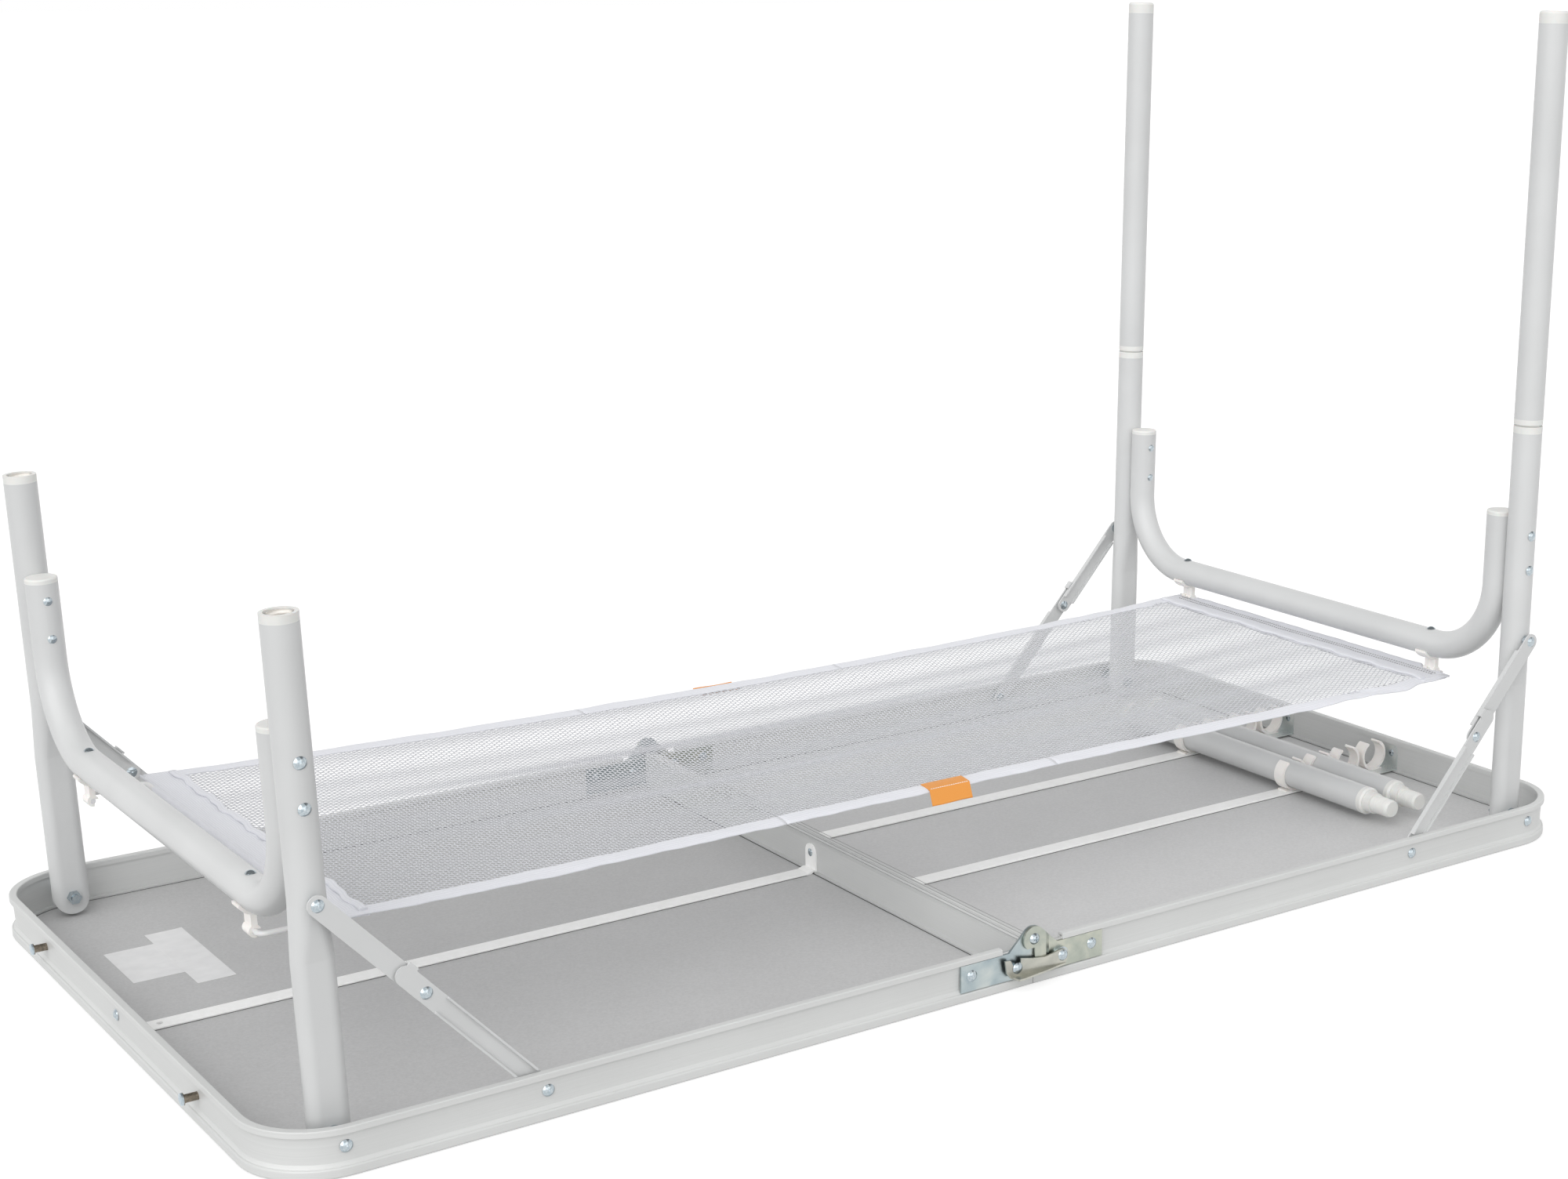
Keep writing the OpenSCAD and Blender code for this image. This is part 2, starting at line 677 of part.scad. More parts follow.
// Latch rivet with its washer, and the headed pin that the hook holds
module latch_pivots() {
  color("silver") on_rails() translate([latch_x, latch_z, 0]) {
    translate([0, 0, -lever_u - lever_t - run]) mirror([0, 0, 1]) dome(head_r, head_h);
    translate([0, 0, -lever_u - lever_t - run])
      cylinder(r = latch_rivet_r, h = lever_u + lever_t + wall_in + backing_t);
    translate([0, 0, -lever_u + run]) cylinder(r = washer_r, h = lever_u - 2 * run);
    translate([0, 0, wall_in + backing_t + 2 * run]) dome(head_r, tail_h);
  }
}
module latch_pins() {
  color("silver") mirror([1, 0, 0]) on_rails() translate([latch_pin_x, latch_pin_z, 0]) {
    translate([0, 0, -lever_u - lever_t - head_gap]) mirror([0, 0, 1]) dome(head_r, head_h);
    translate([0, 0, -lever_u - lever_t - head_gap])
      cylinder(r = rivet_r, h = lever_u + lever_t + head_gap + wall_in + backing_t + 2 * run);
    translate([0, 0, wall_in + backing_t + 2 * run]) dome(head_r, tail_h);
  }
}

// Rivets that both long rails carry: hinge plate and brace foot
module rail_rivets() {
  seat = cove_seat(pivot_z);
  on_rails() {
    translate([plate_x - plate_rivet_in, plate_rivet_z, 0]) rivet(-run, wall_in + backing_t + 2 * run);
    translate([brace_x, pivot_z, 0]) {
      rivet(seat, lower_u + brace_t + run, th = tail_h);
      translate([0, 0, wall_in + run]) cylinder(r = head_r, h = brace_stand - 2 * run);
    }
  }
}
module tab_rivets(ys) {
  for (y = ys) translate([fold_gap / 2 + bar_w + play + strip_t + run, y, strip_rivet_z])
    rotate([0, -90, 0]) {
    mirror([0, 0, 1]) dome(head_r - cut, tail_h);
    cylinder(r = rivet_r, h = strip_t + rail_wall + play);
  }
}
module right_rail_rivets() {
  wall_x = half_len - wall_in - run;
  color("silver") {
    rail_rivets();
    tab_rivets(right_strip_ys);
    for (y = [-clip_y, clip_y]) translate([wall_x - bracket_t - run, y - bracket_screw_shift, side_rivet_z])
      rotate([0, 90, 0]) difference() {
        union() {
          mirror([0, 0, 1]) dome(head_r - cut, tail_h);
          cylinder(r = rivet_r - play - run, h = rail_wall + bracket_t);
        }
        translate([0, 0, -2 * tail_h]) cylinder(r = cut, h = 2 * tail_h + rail_wall);
      }
  }
}
module left_rail_rivets() {
  color("silver") mirror([1, 0, 0]) {
    rail_rivets();
    tab_rivets(left_strip_ys);
    translate([half_len - cove_seat(side_rivet_z), 0, side_rivet_z]) rotate([0, -90, 0])
      rivet(0, wall_in - cove_seat(side_rivet_z) + run);
  }
}

// Headed pins on the left end
module hanging_pins() {
  seat = cove_u(hanging_pin_z);
  color("silver") mirror([1, 0, 0]) for (y = [-hanging_pin_y, hanging_pin_y])
    translate([half_len - seat, y, hanging_pin_z]) rotate([0, 90, 0]) {
      translate([0, 0, seat - wall_in - run]) cylinder(r = pin_r, h = wall_in + pin_out - seat + run);
      translate([0, 0, pin_out - pin_head_h]) cylinder(r = pin_head_r, h = pin_head_h - head_gap);
      translate([0, 0, pin_out - head_gap]) dome(pin_head_r, head_gap);
      translate([0, 0, seat - wall_in - run]) mirror([0, 0, 1]) dome(head_r, tail_h);
    }
}

// Pivot bolts with their spacers and nuts
module leg_bolts(side) {
  seat = cove_seat(pivot_z);
  // The rail's corner already bends in behind the spacer
  bend_in = pow(leg_x + spacer_r - half_len + corner_r, 2) / (2 * (corner_r - wall_in)) + run;
  leg_out = leg_inset - flat_t / 2;
  leg_in = leg_inset + flat_t / 2;
  color("silver") on_side(side) on_rails() translate([leg_x, pivot_z, 0]) {
    translate([0, 0, seat]) mirror([0, 0, 1]) dome(head_r, head_h);
    translate([0, 0, seat]) cylinder(r = bolt_r, h = leg_in + nut_h + bolt_end - seat);
    difference() {
      translate([0, 0, wall_in + bend_in]) cylinder(r = spacer_r, h = leg_out - wall_in - bend_in - run);
      cylinder(r = bolt_r + run, h = leg_inset);
    }
    difference() {
      translate([0, 0, leg_in + run]) cylinder(r = nut_r, h = nut_h, $fn = 6);
      translate([0, 0, leg_inset]) cylinder(r = bolt_r + run, h = leg_inset);
    }
  }
}
module right_leg_bolts() { leg_bolts(1); }
module left_leg_bolts() { leg_bolts(-1); }

// Frame of an open leg pair: z runs along the legs from their pivots
module leg_frame(side) { on_side(side) translate([leg_x, 0, pivot_z]) rotate([0, rake, 0]) children(); }

// Leg tube drawn in by d: round above, flattened below, closed around its pivot
module leg_form(d, top) {
  translate([0, 0, round_from_s]) cylinder(r = tube_r - d, h = top - round_from_s);
  hull() {
    translate([0, 0, round_from_s - slice / 2]) cylinder(r = tube_r - d, h = slice, $fn = 40);
    for (x = [-flat_half_w, flat_half_w]) translate([x, 0, flat_top_s - slice])
      cylinder(r = flat_t / 2 - d, h = slice, $fn = 32);
  }
  intersection() {
    union() {
      for (x = [-flat_half_w, flat_half_w]) translate([x, 0, -leg_end_r])
        cylinder(r = flat_t / 2 - d, h = flat_top_s + leg_end_r);
      translate([-flat_half_w, d - flat_t / 2, -leg_end_r])
        cube([2 * flat_half_w, flat_t - 2 * d, flat_top_s + leg_end_r]);
    }
    translate([0, flat_t, 0]) rotate([90, 0, 0]) linear_extrude(2 * flat_t) union() {
      circle(r = leg_end_r - d);
      translate([d - leg_end_r, 0]) square([2 * (leg_end_r - d), flat_top_s + cut]);
    }
  }
}

module leg(side, edge) {
  color("whitesmoke") leg_frame(side) translate([0, edge * leg_y, 0]) difference() {
    leg_form(0, leg_len);
    leg_form(tube_wall, leg_len + cut);
    rotate([90, 0, 0]) translate([0, 0, -tube_od]) cylinder(r = bolt_r + run, h = 2 * tube_od);
    for (s = concat(rivet_s, [brace_s])) translate([0, s == brace_s ? 0 : -tube_od, s]) rotate([-90, 0, 0])
      cylinder(r = rivet_r + run, h = (s == brace_s ? 1 : 2) * tube_od);
  }
}
module right_leg_near() { scale_leg(1, near); }
module right_leg_far() { scale_leg(1, far); }
module left_leg_near() { scale_leg(-1, near); }
module left_leg_far() { scale_leg(-1, far); }
module scale_leg(side, edge) { scale_y(-edge) leg(side, far); }

module u_bar_form(r, over) {
  for (edge = [near, far]) translate([0, edge * u_y, cross_s + bend_r]) {
    cylinder(r = r, h = u_end_s - cross_s - bend_r + over);
    translate([0, -edge * bend_r, 0]) rotate([90, 0, 90]) rotate([0, 0, edge > 0 ? -90 : 180])
      rotate_extrude(angle = 90) translate([bend_r, 0]) circle(r = r);
  }
  translate([0, bend_r - u_y, cross_s]) rotate([-90, 0, 0]) cylinder(r = r, h = 2 * (u_y - bend_r));
}
module u_bar(side) {
  color("whitesmoke") leg_frame(side) difference() {
    u_bar_form(tube_r, 0);
    u_bar_form(bore_r, cut);
    for (edge = [near, far], s = rivet_s) translate([0, edge * u_y - tube_od, s]) rotate([-90, 0, 0])
      cylinder(r = rivet_r + run, h = 2 * tube_od);
    for (edge = [near, far]) translate([0, edge * net_clip_y, cross_s - tube_od])
      cylinder(r = rivet_r - play, h = 2 * tube_od);
  }
}
module right_u_bar() { u_bar(1); }
module left_u_bar() { u_bar(-1); }

// Rounded disc that closes a tube, with a ribbed plug inside it
module u_bar_caps(side) {
  color("white") leg_frame(side) for (edge = [near, far]) translate([0, edge * u_y, u_end_s]) {
    rotate_extrude() union() {
      square([tube_r - cap_r, cap_h]);
      square([tube_r, cap_h - cap_r]);
      translate([tube_r - cap_r, cap_h - cap_r]) circle(r = cap_r);
    }
    translate([0, 0, -cap_plug_h]) cylinder(r = plug_r, h = cap_plug_h);
  }
}
module right_u_bar_caps() { u_bar_caps(1); }
module left_u_bar_caps() { u_bar_caps(-1); }

// Socket in a leg's end that takes an extension's spigot
module leg_sockets(side) {
  color("white") leg_frame(side) for (edge = [near, far]) translate([0, edge * leg_y, leg_len])
    difference() {
    union() {
      cylinder(r = tube_r, h = socket_h);
      translate([0, 0, socket_h - socket_depth - 2 * tube_wall]) cylinder(r = plug_r, h = socket_depth);
    }
    translate([0, 0, socket_h - socket_depth]) cylinder(r = thread_d / 2 + play, h = socket_depth + cut);
    translate([0, 0, socket_h - shoulder_h]) cylinder(r = shoulder_d / 2 + play, h = shoulder_h + cut);
  }
}
module right_leg_sockets() { leg_sockets(1); }
module left_leg_sockets() { leg_sockets(-1); }

// Rivets through each leg and its U-bar, and the bush that carries the brace
module leg_rivets(side) {
  outer = tube_r + run;
  inner = leg_y - u_y + tube_r + run;
  color("silver") leg_frame(side) for (edge = [near, far]) scale_y(edge) translate([0, -leg_y, 0])
    rotate([-90, 0, 0]) {
    for (s = rivet_s) translate([0, -s, 0]) rivet(-outer, inner, tr = head_r - cut);
  }
}
module right_leg_rivets() { leg_rivets(1); }
module left_leg_rivets() { leg_rivets(-1); }

// Frame of the braces: x runs from the brace's foot to its top, z is depth from the rail's face
module brace_frame(side) {
  on_side(side) on_rails() translate([brace_foot[0], brace_foot[1], 0]) rotate([0, 0, brace_angle])
    children();
}

module arm_outline(len, w) { link([0, 0], w / 2, [len, 0], w / 2 - play / 10); }

module lower_braces(side) {
  stop_x = lower_arm + brace_reach;
  edge_y = brace_w / 2 + stop_gap;
  color("whitesmoke") brace_frame(side) difference() {
    union() {
      translate([0, 0, lower_u]) linear_extrude(brace_t) {
        arm_outline(stop_x, brace_w);
        translate([stop_x - stop_w / 2, 0]) square([stop_w, edge_y + stop_t]);
      }
      // Turned edges between the rivets
      for (v = [-1, 1]) translate([brace_w, v > 0 ? brace_w / 2 - brace_t : -brace_w / 2,
        lower_u - lower_flange_h])
        cube([lower_arm - 2 * brace_w, brace_t, lower_flange_h + brace_t / 2]);
      // Stop that bears on the upper arm when the brace is straight
      translate([stop_x - stop_w / 2, edge_y, lower_u]) cube([stop_w, stop_t, brace_space + 2 * brace_t]);
    }
    for (x = [0, lower_arm]) translate([x, 0, lower_u - cut])
      cylinder(r = rivet_r + run, h = brace_t + 2 * cut);
  }
}
module right_lower_braces() { lower_braces(1); }
module left_lower_braces() { lower_braces(-1); }

module middle_rivets(side) {
  color("silver") brace_frame(side) translate([lower_arm, 0, 0]) {
    rivet(lower_u - run, upper_u + brace_t + run);
    translate([0, 0, lower_u + brace_t + run]) cylinder(r = head_r, h = brace_space - 2 * run);
  }
}
module right_middle_rivets() { middle_rivets(1); }
module left_middle_rivets() { middle_rivets(-1); }

module upper_braces(side) {
  color("whitesmoke") brace_frame(side) translate([lower_arm, 0, 0]) difference() {
    union() {
      translate([0, 0, upper_u]) linear_extrude(brace_t) arm_outline(upper_arm, brace_w);
      for (v = [-1, 1]) translate([brace_w / 2, v > 0 ? brace_w / 2 - brace_t : -brace_w / 2,
        upper_u + brace_t / 2])
        cube([upper_arm - brace_w * 1.5, brace_t, flange_h + brace_t / 2]);
    }
    for (x = [0, upper_arm]) translate([x, 0, upper_u - cut])
      cylinder(r = rivet_r + run, h = brace_t + 2 * cut);
  }
}
module right_upper_braces() { upper_braces(1); }
module left_upper_braces() { upper_braces(-1); }

// Its bush reaches the leg's tube
module upper_rivets(side) {
  bush_h = leg_inset - tube_r - upper_u - brace_t - stop_gap;
  color("silver") brace_frame(side) translate([brace_span, 0, upper_u]) {
    translate([0, 0, -run]) mirror([0, 0, 1]) dome(head_r, brace_space - stop_gap);
    translate([0, 0, -run]) cylinder(r = rivet_r, h = brace_t + 2 * run);
    translate([0, 0, brace_t + run]) cylinder(r = head_r, h = bush_h);
  }
}
module right_upper_rivets() { upper_rivets(1); }
module left_upper_rivets() { upper_rivets(-1); }

// Extension along z from its shoulder: tube, then collar with spigot and foot
module extension_tube() {
  color("whitesmoke") translate([0, 0, collar_h]) difference() {
    cylinder(r = tube_r, h = ext_len - collar_h - foot_h);
    translate([0, 0, -cut]) cylinder(r = bore_r, h = ext_len);
  }
}
module extension_ends() {
  turns = floor((thread_h - spigot_chamfer) / thread_pitch);
  ridge = thread_pitch / 6;
  color("white") {
    rotate_extrude() polygon(concat(
      [[0, -spigot_len], [thread_d / 2 - spigot_chamfer, -spigot_len]],
      [for (i = [0:turns - 1], k = [0, 1, 2]) let (z = -shoulder_h - (turns - i) * thread_pitch)
        [thread_d / 2 - (k == 1 ? 0 : ridge), z + k * thread_pitch / 3]],
      [[thread_d / 2 - ridge, -shoulder_h], [shoulder_d / 2, -shoulder_h], [shoulder_d / 2, 0]],
      [[tube_r - cap_r, 0], [tube_r, cap_r], [tube_r, collar_h], [plug_r, collar_h]],
      [[plug_r, collar_h + ext_plug_h], [0, collar_h + ext_plug_h]]
    ));
    rotate_extrude() polygon(concat(
      [[0, ext_len - foot_h - foot_plug_h], [plug_r, ext_len - foot_h - foot_plug_h]],
      [[plug_r, ext_len - foot_h], [tube_r, ext_len - foot_h]],
      arc([tube_r - foot_r, ext_len - foot_r], foot_r, 0, 90),
      [[0, ext_len]]
    ));
  }
}
module on_leg(edge) { leg_frame(1) translate([0, edge * leg_y, leg_len + socket_h + play]) children(); }
module extension_tube_near() { on_leg(near) extension_tube(); }
module extension_tube_far() { on_leg(far) extension_tube(); }
module extension_ends_near() { on_leg(near) extension_ends(); }
module extension_ends_far() { on_leg(far) extension_ends(); }

module in_clip(i) { translate([clip_xs[i], stored_shoulder_y, stored_z]) rotate([-90, 0, 0]) children(); }
module stored_tube_1() { in_clip(0) extension_tube(); }
module stored_tube_2() { in_clip(1) extension_tube(); }
module stored_ends_1() { in_clip(0) extension_ends(); }
module stored_ends_2() { in_clip(1) extension_ends(); }

// Clip under a cross tube: a saddle, a neck and a hook for the net's wire
module net_clips(side) {
  hook_r = wire_r + hook_t;
  color("seashell") leg_frame(side) for (edge = [near, far])
    translate([0, edge * net_clip_y + net_clip_w / 2, 0]) rotate([90, 0, 0]) difference() {
      linear_extrude(net_clip_w) difference() {
        union() {
          intersection() {
            translate([0, cross_s]) circle(r = tube_r + play + saddle_t);
            translate([-tube_r, cross_s - tube_od]) square([2 * tube_r, tube_od - tube_r / 2]);
          }
          translate([net_axis_x, net_axis_s]) circle(r = hook_r);
          translate([net_axis_x - hook_r / 2, net_axis_s]) square([hook_r, cross_s - tube_r - net_axis_s]);
        }
        translate([0, cross_s]) circle(r = tube_r + play);
        translate([net_axis_x, net_axis_s]) circle(r = wire_r + run);
        translate([net_axis_x - 2 * hook_r, net_axis_s - 2 * hook_r])
          square([2 * hook_r - wire_r * 0.4, 2 * hook_r + net_t]);
      }
      translate([0, cross_s - tube_od, net_clip_w / 2]) rotate([-90, 0, 0])
        cylinder(r = rivet_r - play, h = tube_od);
    }
}
module right_net_clips() { net_clips(1); }
module left_net_clips() { net_clips(-1); }

module clip_screws(side) {
  screw_r = rivet_r - play - run;
  color("silver") leg_frame(side) for (edge = [near, far])
    translate([0, edge * net_clip_y, cross_s + tube_r]) {
    dome(head_r - cut / 2, head_h);
    translate([0, 0, -tube_od - saddle_t]) cylinder(r = screw_r, h = tube_od + saddle_t);
  }
}
module right_clip_screws() { clip_screws(1); }
module left_clip_screws() { clip_screws(-1); }

// Coated wire in the net's end: straight on the right, a hooked frame on the left
module right_net_rod() {
  len = net_clip_y + net_clip_w;
  color("white") leg_frame(1) translate([net_axis_x, -len, net_axis_s]) rotate([-90, 0, 0])
    cylinder(r = wire_r, h = 2 * len);
}
rod_bend = 3 * wire_r;
module left_net_rod() {
  pivot = [leg_x + net_axis_s * sin(rake) + net_axis_x * cos(rake),
    pivot_z + net_axis_s * cos(rake) - net_axis_x * sin(rake)];
  reach = pivot[0] - net_left_x - wire_r - net_join;
  side_y = net_clip_y + net_clip_w / 2 + rod_bend + wire_r;
  color("white") mirror([1, 0, 0]) for (edge = [near, far]) scale_y(edge) {
    // Pivot part in the hook, bend, arm, bend and half of the cross part
    translate([pivot[0], -side_y + rod_bend, pivot[1]]) rotate([-90, 0, 0])
      cylinder(r = wire_r, h = net_clip_w + wire_r);
    translate([pivot[0] - rod_bend, rod_bend - side_y, pivot[1]]) rotate([0, 0, -90])
      rotate_extrude(angle = 90) translate([rod_bend, 0]) circle(r = wire_r);
    translate([pivot[0] - reach + rod_bend, -side_y, pivot[1]]) rotate([0, 90, 0])
      cylinder(r = wire_r, h = reach - 2 * rod_bend);
    translate([pivot[0] - reach + rod_bend, rod_bend - side_y, pivot[1]]) rotate([0, 0, 180])
      rotate_extrude(angle = 90) translate([rod_bend, 0]) circle(r = wire_r);
    translate([pivot[0] - reach, rod_bend - side_y, pivot[1]]) rotate([-90, 0, 0])
      cylinder(r = wire_r, h = side_y - rod_bend);
  }
}

// Net shelf: a thin sheet that hangs in a shallow curve and draws in along its edges
function net_span(x) = (x + net_left_x) / (net_right_x + net_left_x);
function net_hang(t) = 4 * t * (1 - t);
function net_point(x, v, dz) = let (
    t = net_span(x),
    y0 = net_near[0] * (1 - t) + net_near[1] * t + net_draw * net_hang(t),
    y1 = net_far[0] * (1 - t) + net_far[1] * t - net_far_draw * net_hang(t),
    low = net_sag_shares[0] * (1 - v) + net_sag_shares[1] * v + net_sag_shares[2] * net_hang(v)
  ) [x, y0 + (y1 - y0) * v, net_z + dz - net_sag * net_hang(t) * low];

// A sheet of square cells with one gap each; a cell's corners and its gap's corners lie on the same surface
module net_part(x0, x1) {
  nx = max(3, min(12, round((x1 - x0) / net_cell_x)));
  row = net_cells + 1;
  corners = (nx + 1) * row;
  side = corners + 4 * nx * net_cells;
  inset = (1 - net_gap_share) / 2;
  far_in = 1 - inset;
  pts = [for (dz = [-net_t / 2, net_t / 2]) each concat(
    [for (i = [0:nx], j = [0:net_cells]) net_point(x0 + (x1 - x0) * i / nx, j / net_cells, dz)],
    [for (i = [0:nx - 1], j = [0:net_cells - 1],
      c = [[inset, inset], [far_in, inset], [far_in, far_in], [inset, far_in]])
      net_point(x0 + (x1 - x0) * (i + c[0]) / nx, (j + c[1]) / net_cells, dz)]
  )];
  cells = [for (i = [0:nx - 1], j = [0:net_cells - 1]) let (
      a = i * row + j,
      g = corners + 4 * (i * net_cells + j)
    ) [[a, a + row, a + row + 1, a + 1], [g, g + 1, g + 2, g + 3]]];
  // Lower side, then the gap's walls; the upper side is the lower one turned over
  face = [for (c = cells, k = [0:3], h = [0, 1]) let (m = (k + 1) % 4)
    h == 0 ? [c[0][k], c[0][m], c[1][m]] : [c[0][k], c[1][m], c[1][k]]];
  gap_wall = [for (c = cells, k = [0:3], h = [0, 1]) let (m = (k + 1) % 4)
    h == 0 ? [c[1][k], c[1][m], c[1][m] + side] : [c[1][k], c[1][m] + side, c[1][k] + side]];
  ring = concat(
    [for (i = [0:nx - 1]) i * row], [for (j = [0:net_cells - 1]) nx * row + j],
    [for (i = [nx:-1:1]) i * row + net_cells], [for (j = [net_cells:-1:1]) j]
  );
  n = len(ring);
  edge_wall = [for (i = [0:n - 1], k = [0, 1]) let (a = ring[i], b = ring[(i + 1) % n])
    k == 0 ? [a, b + side, b] : [a, a + side, b + side]];
  upper = [for (f = face) [f[0] + side, f[2] + side, f[1] + side]];
  polyhedron(pts, concat(face, upper, gap_wall, edge_wall));
}
module left_net() { color("white") net_part(-net_left_x, -net_split_x - net_join / 2); }
module centre_net() { color("white") net_part(net_join / 2 - net_split_x, net_split_x - net_join / 2); }
module right_net() { color("white") net_part(net_split_x + net_join / 2, net_right_x); }

right_frame_rail();
left_frame_rail();
right_top_panel();
left_top_panel();
right_centre_bar();
left_centre_bar();
right_strips();
left_strip();
filled_clips();
empty_clips();
clip_brackets();
right_hinge_plates();
left_hinge_plates();
hinge_screws();
latch_lever_near();
latch_lever_far();
latch_pivots();
latch_pins();
right_rail_rivets();
left_rail_rivets();
hanging_pins();
right_leg_bolts();
left_leg_bolts();
right_leg_near();
right_leg_far();
left_leg_near();
left_leg_far();
right_u_bar();
left_u_bar();
right_u_bar_caps();
left_u_bar_caps();
right_leg_sockets();
left_leg_sockets();
right_leg_rivets();
left_leg_rivets();
right_net_clips();
left_net_clips();
right_clip_screws();
left_clip_screws();
right_net_rod();
left_net_rod();
right_lower_braces();
left_lower_braces();
right_middle_rivets();
left_middle_rivets();
right_upper_braces();
left_upper_braces();
right_upper_rivets();
left_upper_rivets();
extension_tube_near();
extension_ends_near();
extension_tube_far();
extension_ends_far();
stored_tube_1();
stored_ends_1();
stored_tube_2();
stored_ends_2();
left_net();
centre_net();
right_net();
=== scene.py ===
import math
import bpy
import numpy as np
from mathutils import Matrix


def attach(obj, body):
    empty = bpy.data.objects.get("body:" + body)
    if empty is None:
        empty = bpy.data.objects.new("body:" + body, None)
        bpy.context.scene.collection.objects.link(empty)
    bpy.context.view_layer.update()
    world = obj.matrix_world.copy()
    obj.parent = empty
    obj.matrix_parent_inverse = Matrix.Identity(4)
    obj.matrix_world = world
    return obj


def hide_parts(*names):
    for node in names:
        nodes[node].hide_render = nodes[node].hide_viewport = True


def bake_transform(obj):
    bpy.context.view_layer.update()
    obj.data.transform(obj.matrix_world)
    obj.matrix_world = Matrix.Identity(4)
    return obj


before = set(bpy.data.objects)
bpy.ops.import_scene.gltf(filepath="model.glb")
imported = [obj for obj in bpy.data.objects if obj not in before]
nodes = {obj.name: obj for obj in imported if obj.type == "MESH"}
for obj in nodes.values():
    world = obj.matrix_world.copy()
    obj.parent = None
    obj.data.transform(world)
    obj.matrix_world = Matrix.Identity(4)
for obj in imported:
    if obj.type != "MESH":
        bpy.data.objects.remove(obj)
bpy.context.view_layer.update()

scene = bpy.context.scene
mm = 0.001
print("table: frame loaded,", len(nodes), "nodes")

# The camera, at the photograph's place and angle
camera = {
    "place": (-1.11037, -1.80811, 0.76079),
    "down": 13.769,  # degrees below the horizon
    "turn": 36.506,  # degrees from +Y towards +X
    "lens": 59.82,
    "sensor": 36,
    "shiftX": -0.1592,  # the photograph is a crop, with the object right of its lens axis
    "shiftY": 0.00626,
    "clip": (0.05, 60),
}
lensData = bpy.data.cameras.new("photoCamera")
lensData.lens, lensData.sensor_width = camera["lens"], camera["sensor"]
lensData.shift_x, lensData.shift_y = camera["shiftX"], camera["shiftY"]
lensData.clip_start, lensData.clip_end = camera["clip"]
photoCamera = bpy.data.objects.new("photoCamera", lensData)
photoCamera.location = camera["place"]
photoCamera.rotation_euler = (math.radians(90 - camera["down"]), 0, math.radians(-camera["turn"]))
scene.collection.objects.link(photoCamera)
scene.camera = photoCamera
scene.view_settings.view_transform = "Standard"


def linear(hexCode):
    # sRGB hex to a linear colour
    c = np.array([int(hexCode[i:i + 2], 16) / 255 for i in (0, 2, 4)])
    c = np.where(c <= 0.04045, c / 12.92, ((c + 0.055) / 1.055) ** 2.4)
    return (*c, 1.0)


def add(tree, kind, links=None, into=None, stops=None, **settings):
    # One node. links are socket: (node, output), into is the (node, socket) that its first output feeds,
    # stops are a colour ramp's (position, hex), and settings are properties or sockets' values.
    made = tree.nodes.new(kind)
    for name, value in settings.items():
        if hasattr(made, name):
            setattr(made, name, value)
        else:
            made.inputs[name.replace("_", " ")].default_value = value
    for socket, (source, output) in (links or {}).items():
        tree.links.new(source.outputs[output], made.inputs[socket])
    if stops:
        row = made.color_ramp.elements
        while len(row) < len(stops):
            row.new(0.5)
        for element, (position, colour) in zip(row, stops):
            element.position, element.color = position, linear(colour)
    if into:
        tree.links.new(made.outputs[0], into[0].inputs[into[1]])
    return made


def startMaterial(name, colour, roughness, **settings):
    # A material with its shader, and the node that gives Object coordinates
    made = bpy.data.materials.new(name)
    made.use_nodes = True
    tree = made.node_tree
    shader = tree.nodes["Principled BSDF"]
    shader.inputs["Base Color"].default_value = linear(colour)
    shader.inputs["Roughness"].default_value = roughness
    for socket, value in settings.items():
        shader.inputs[socket.replace("_", " ")].default_value = value
    place = add(tree, "ShaderNodeTexCoord")
    return made, tree, shader, place


# Finishes. Noise of scale s has blots about 1000 / s mm across.
def satinAluminium():
    # Anodised aluminium extrusion: pale grey, silky, with faint die lines along its length
    made, tree, shader, place = startMaterial("satinAluminium", "CDCECD", 0.44, Metallic=0.12)
    lines = add(tree, "ShaderNodeMapping", {0: (place, "Object")}, Scale=(6, 6, 1500))
    grain = add(tree, "ShaderNodeTexNoise", {0: (lines, 0)}, Scale=1.0, Detail=3.0)
    cloud = add(tree, "ShaderNodeTexNoise", {0: (place, "Object")}, Scale=9.0, Detail=2.0)
    both = add(tree, "ShaderNodeMix", {2: (grain, 0), 3: (cloud, 0)}, data_type="FLOAT")
    add(tree, "ShaderNodeValToRGB", {0: (both, 0)}, (shader, "Base Color"), [(0.3, "C9CAC9"), (0.7, "D2D3D2")])
    add(tree, "ShaderNodeMapRange", {0: (grain, 0)}, (shader, "Roughness"), To_Min=0.36, To_Max=0.5)
    add(tree, "ShaderNodeBump", {"Height": (grain, 0)}, (shader, "Normal"), Strength=0.12, Distance=0.0001)
    return made


def greyLaminate(name, tints):
    # Board under a matt grey printed paper laminate: flat grey, a fine mottle about 2 mm across
    made, tree, shader, place = startMaterial(name, tints[0], 0.5)
    fleck = add(tree, "ShaderNodeTexNoise", {0: (place, "Object")}, Scale=450.0, Detail=3.0, Roughness=0.6)
    cloud = add(tree, "ShaderNodeTexNoise", {0: (place, "Object")}, Scale=12.0, Detail=2.0)
    both = add(tree, "ShaderNodeMix", {2: (fleck, 0), 3: (cloud, 0)}, data_type="FLOAT", Factor=0.22)
    add(tree, "ShaderNodeValToRGB", {0: (both, 0)}, (shader, "Base Color"), list(zip((0.32, 0.68), tints)))
    add(tree, "ShaderNodeBump", {"Height": (fleck, 0)}, (shader, "Normal"), Strength=0.08, Distance=0.0002)
    return made


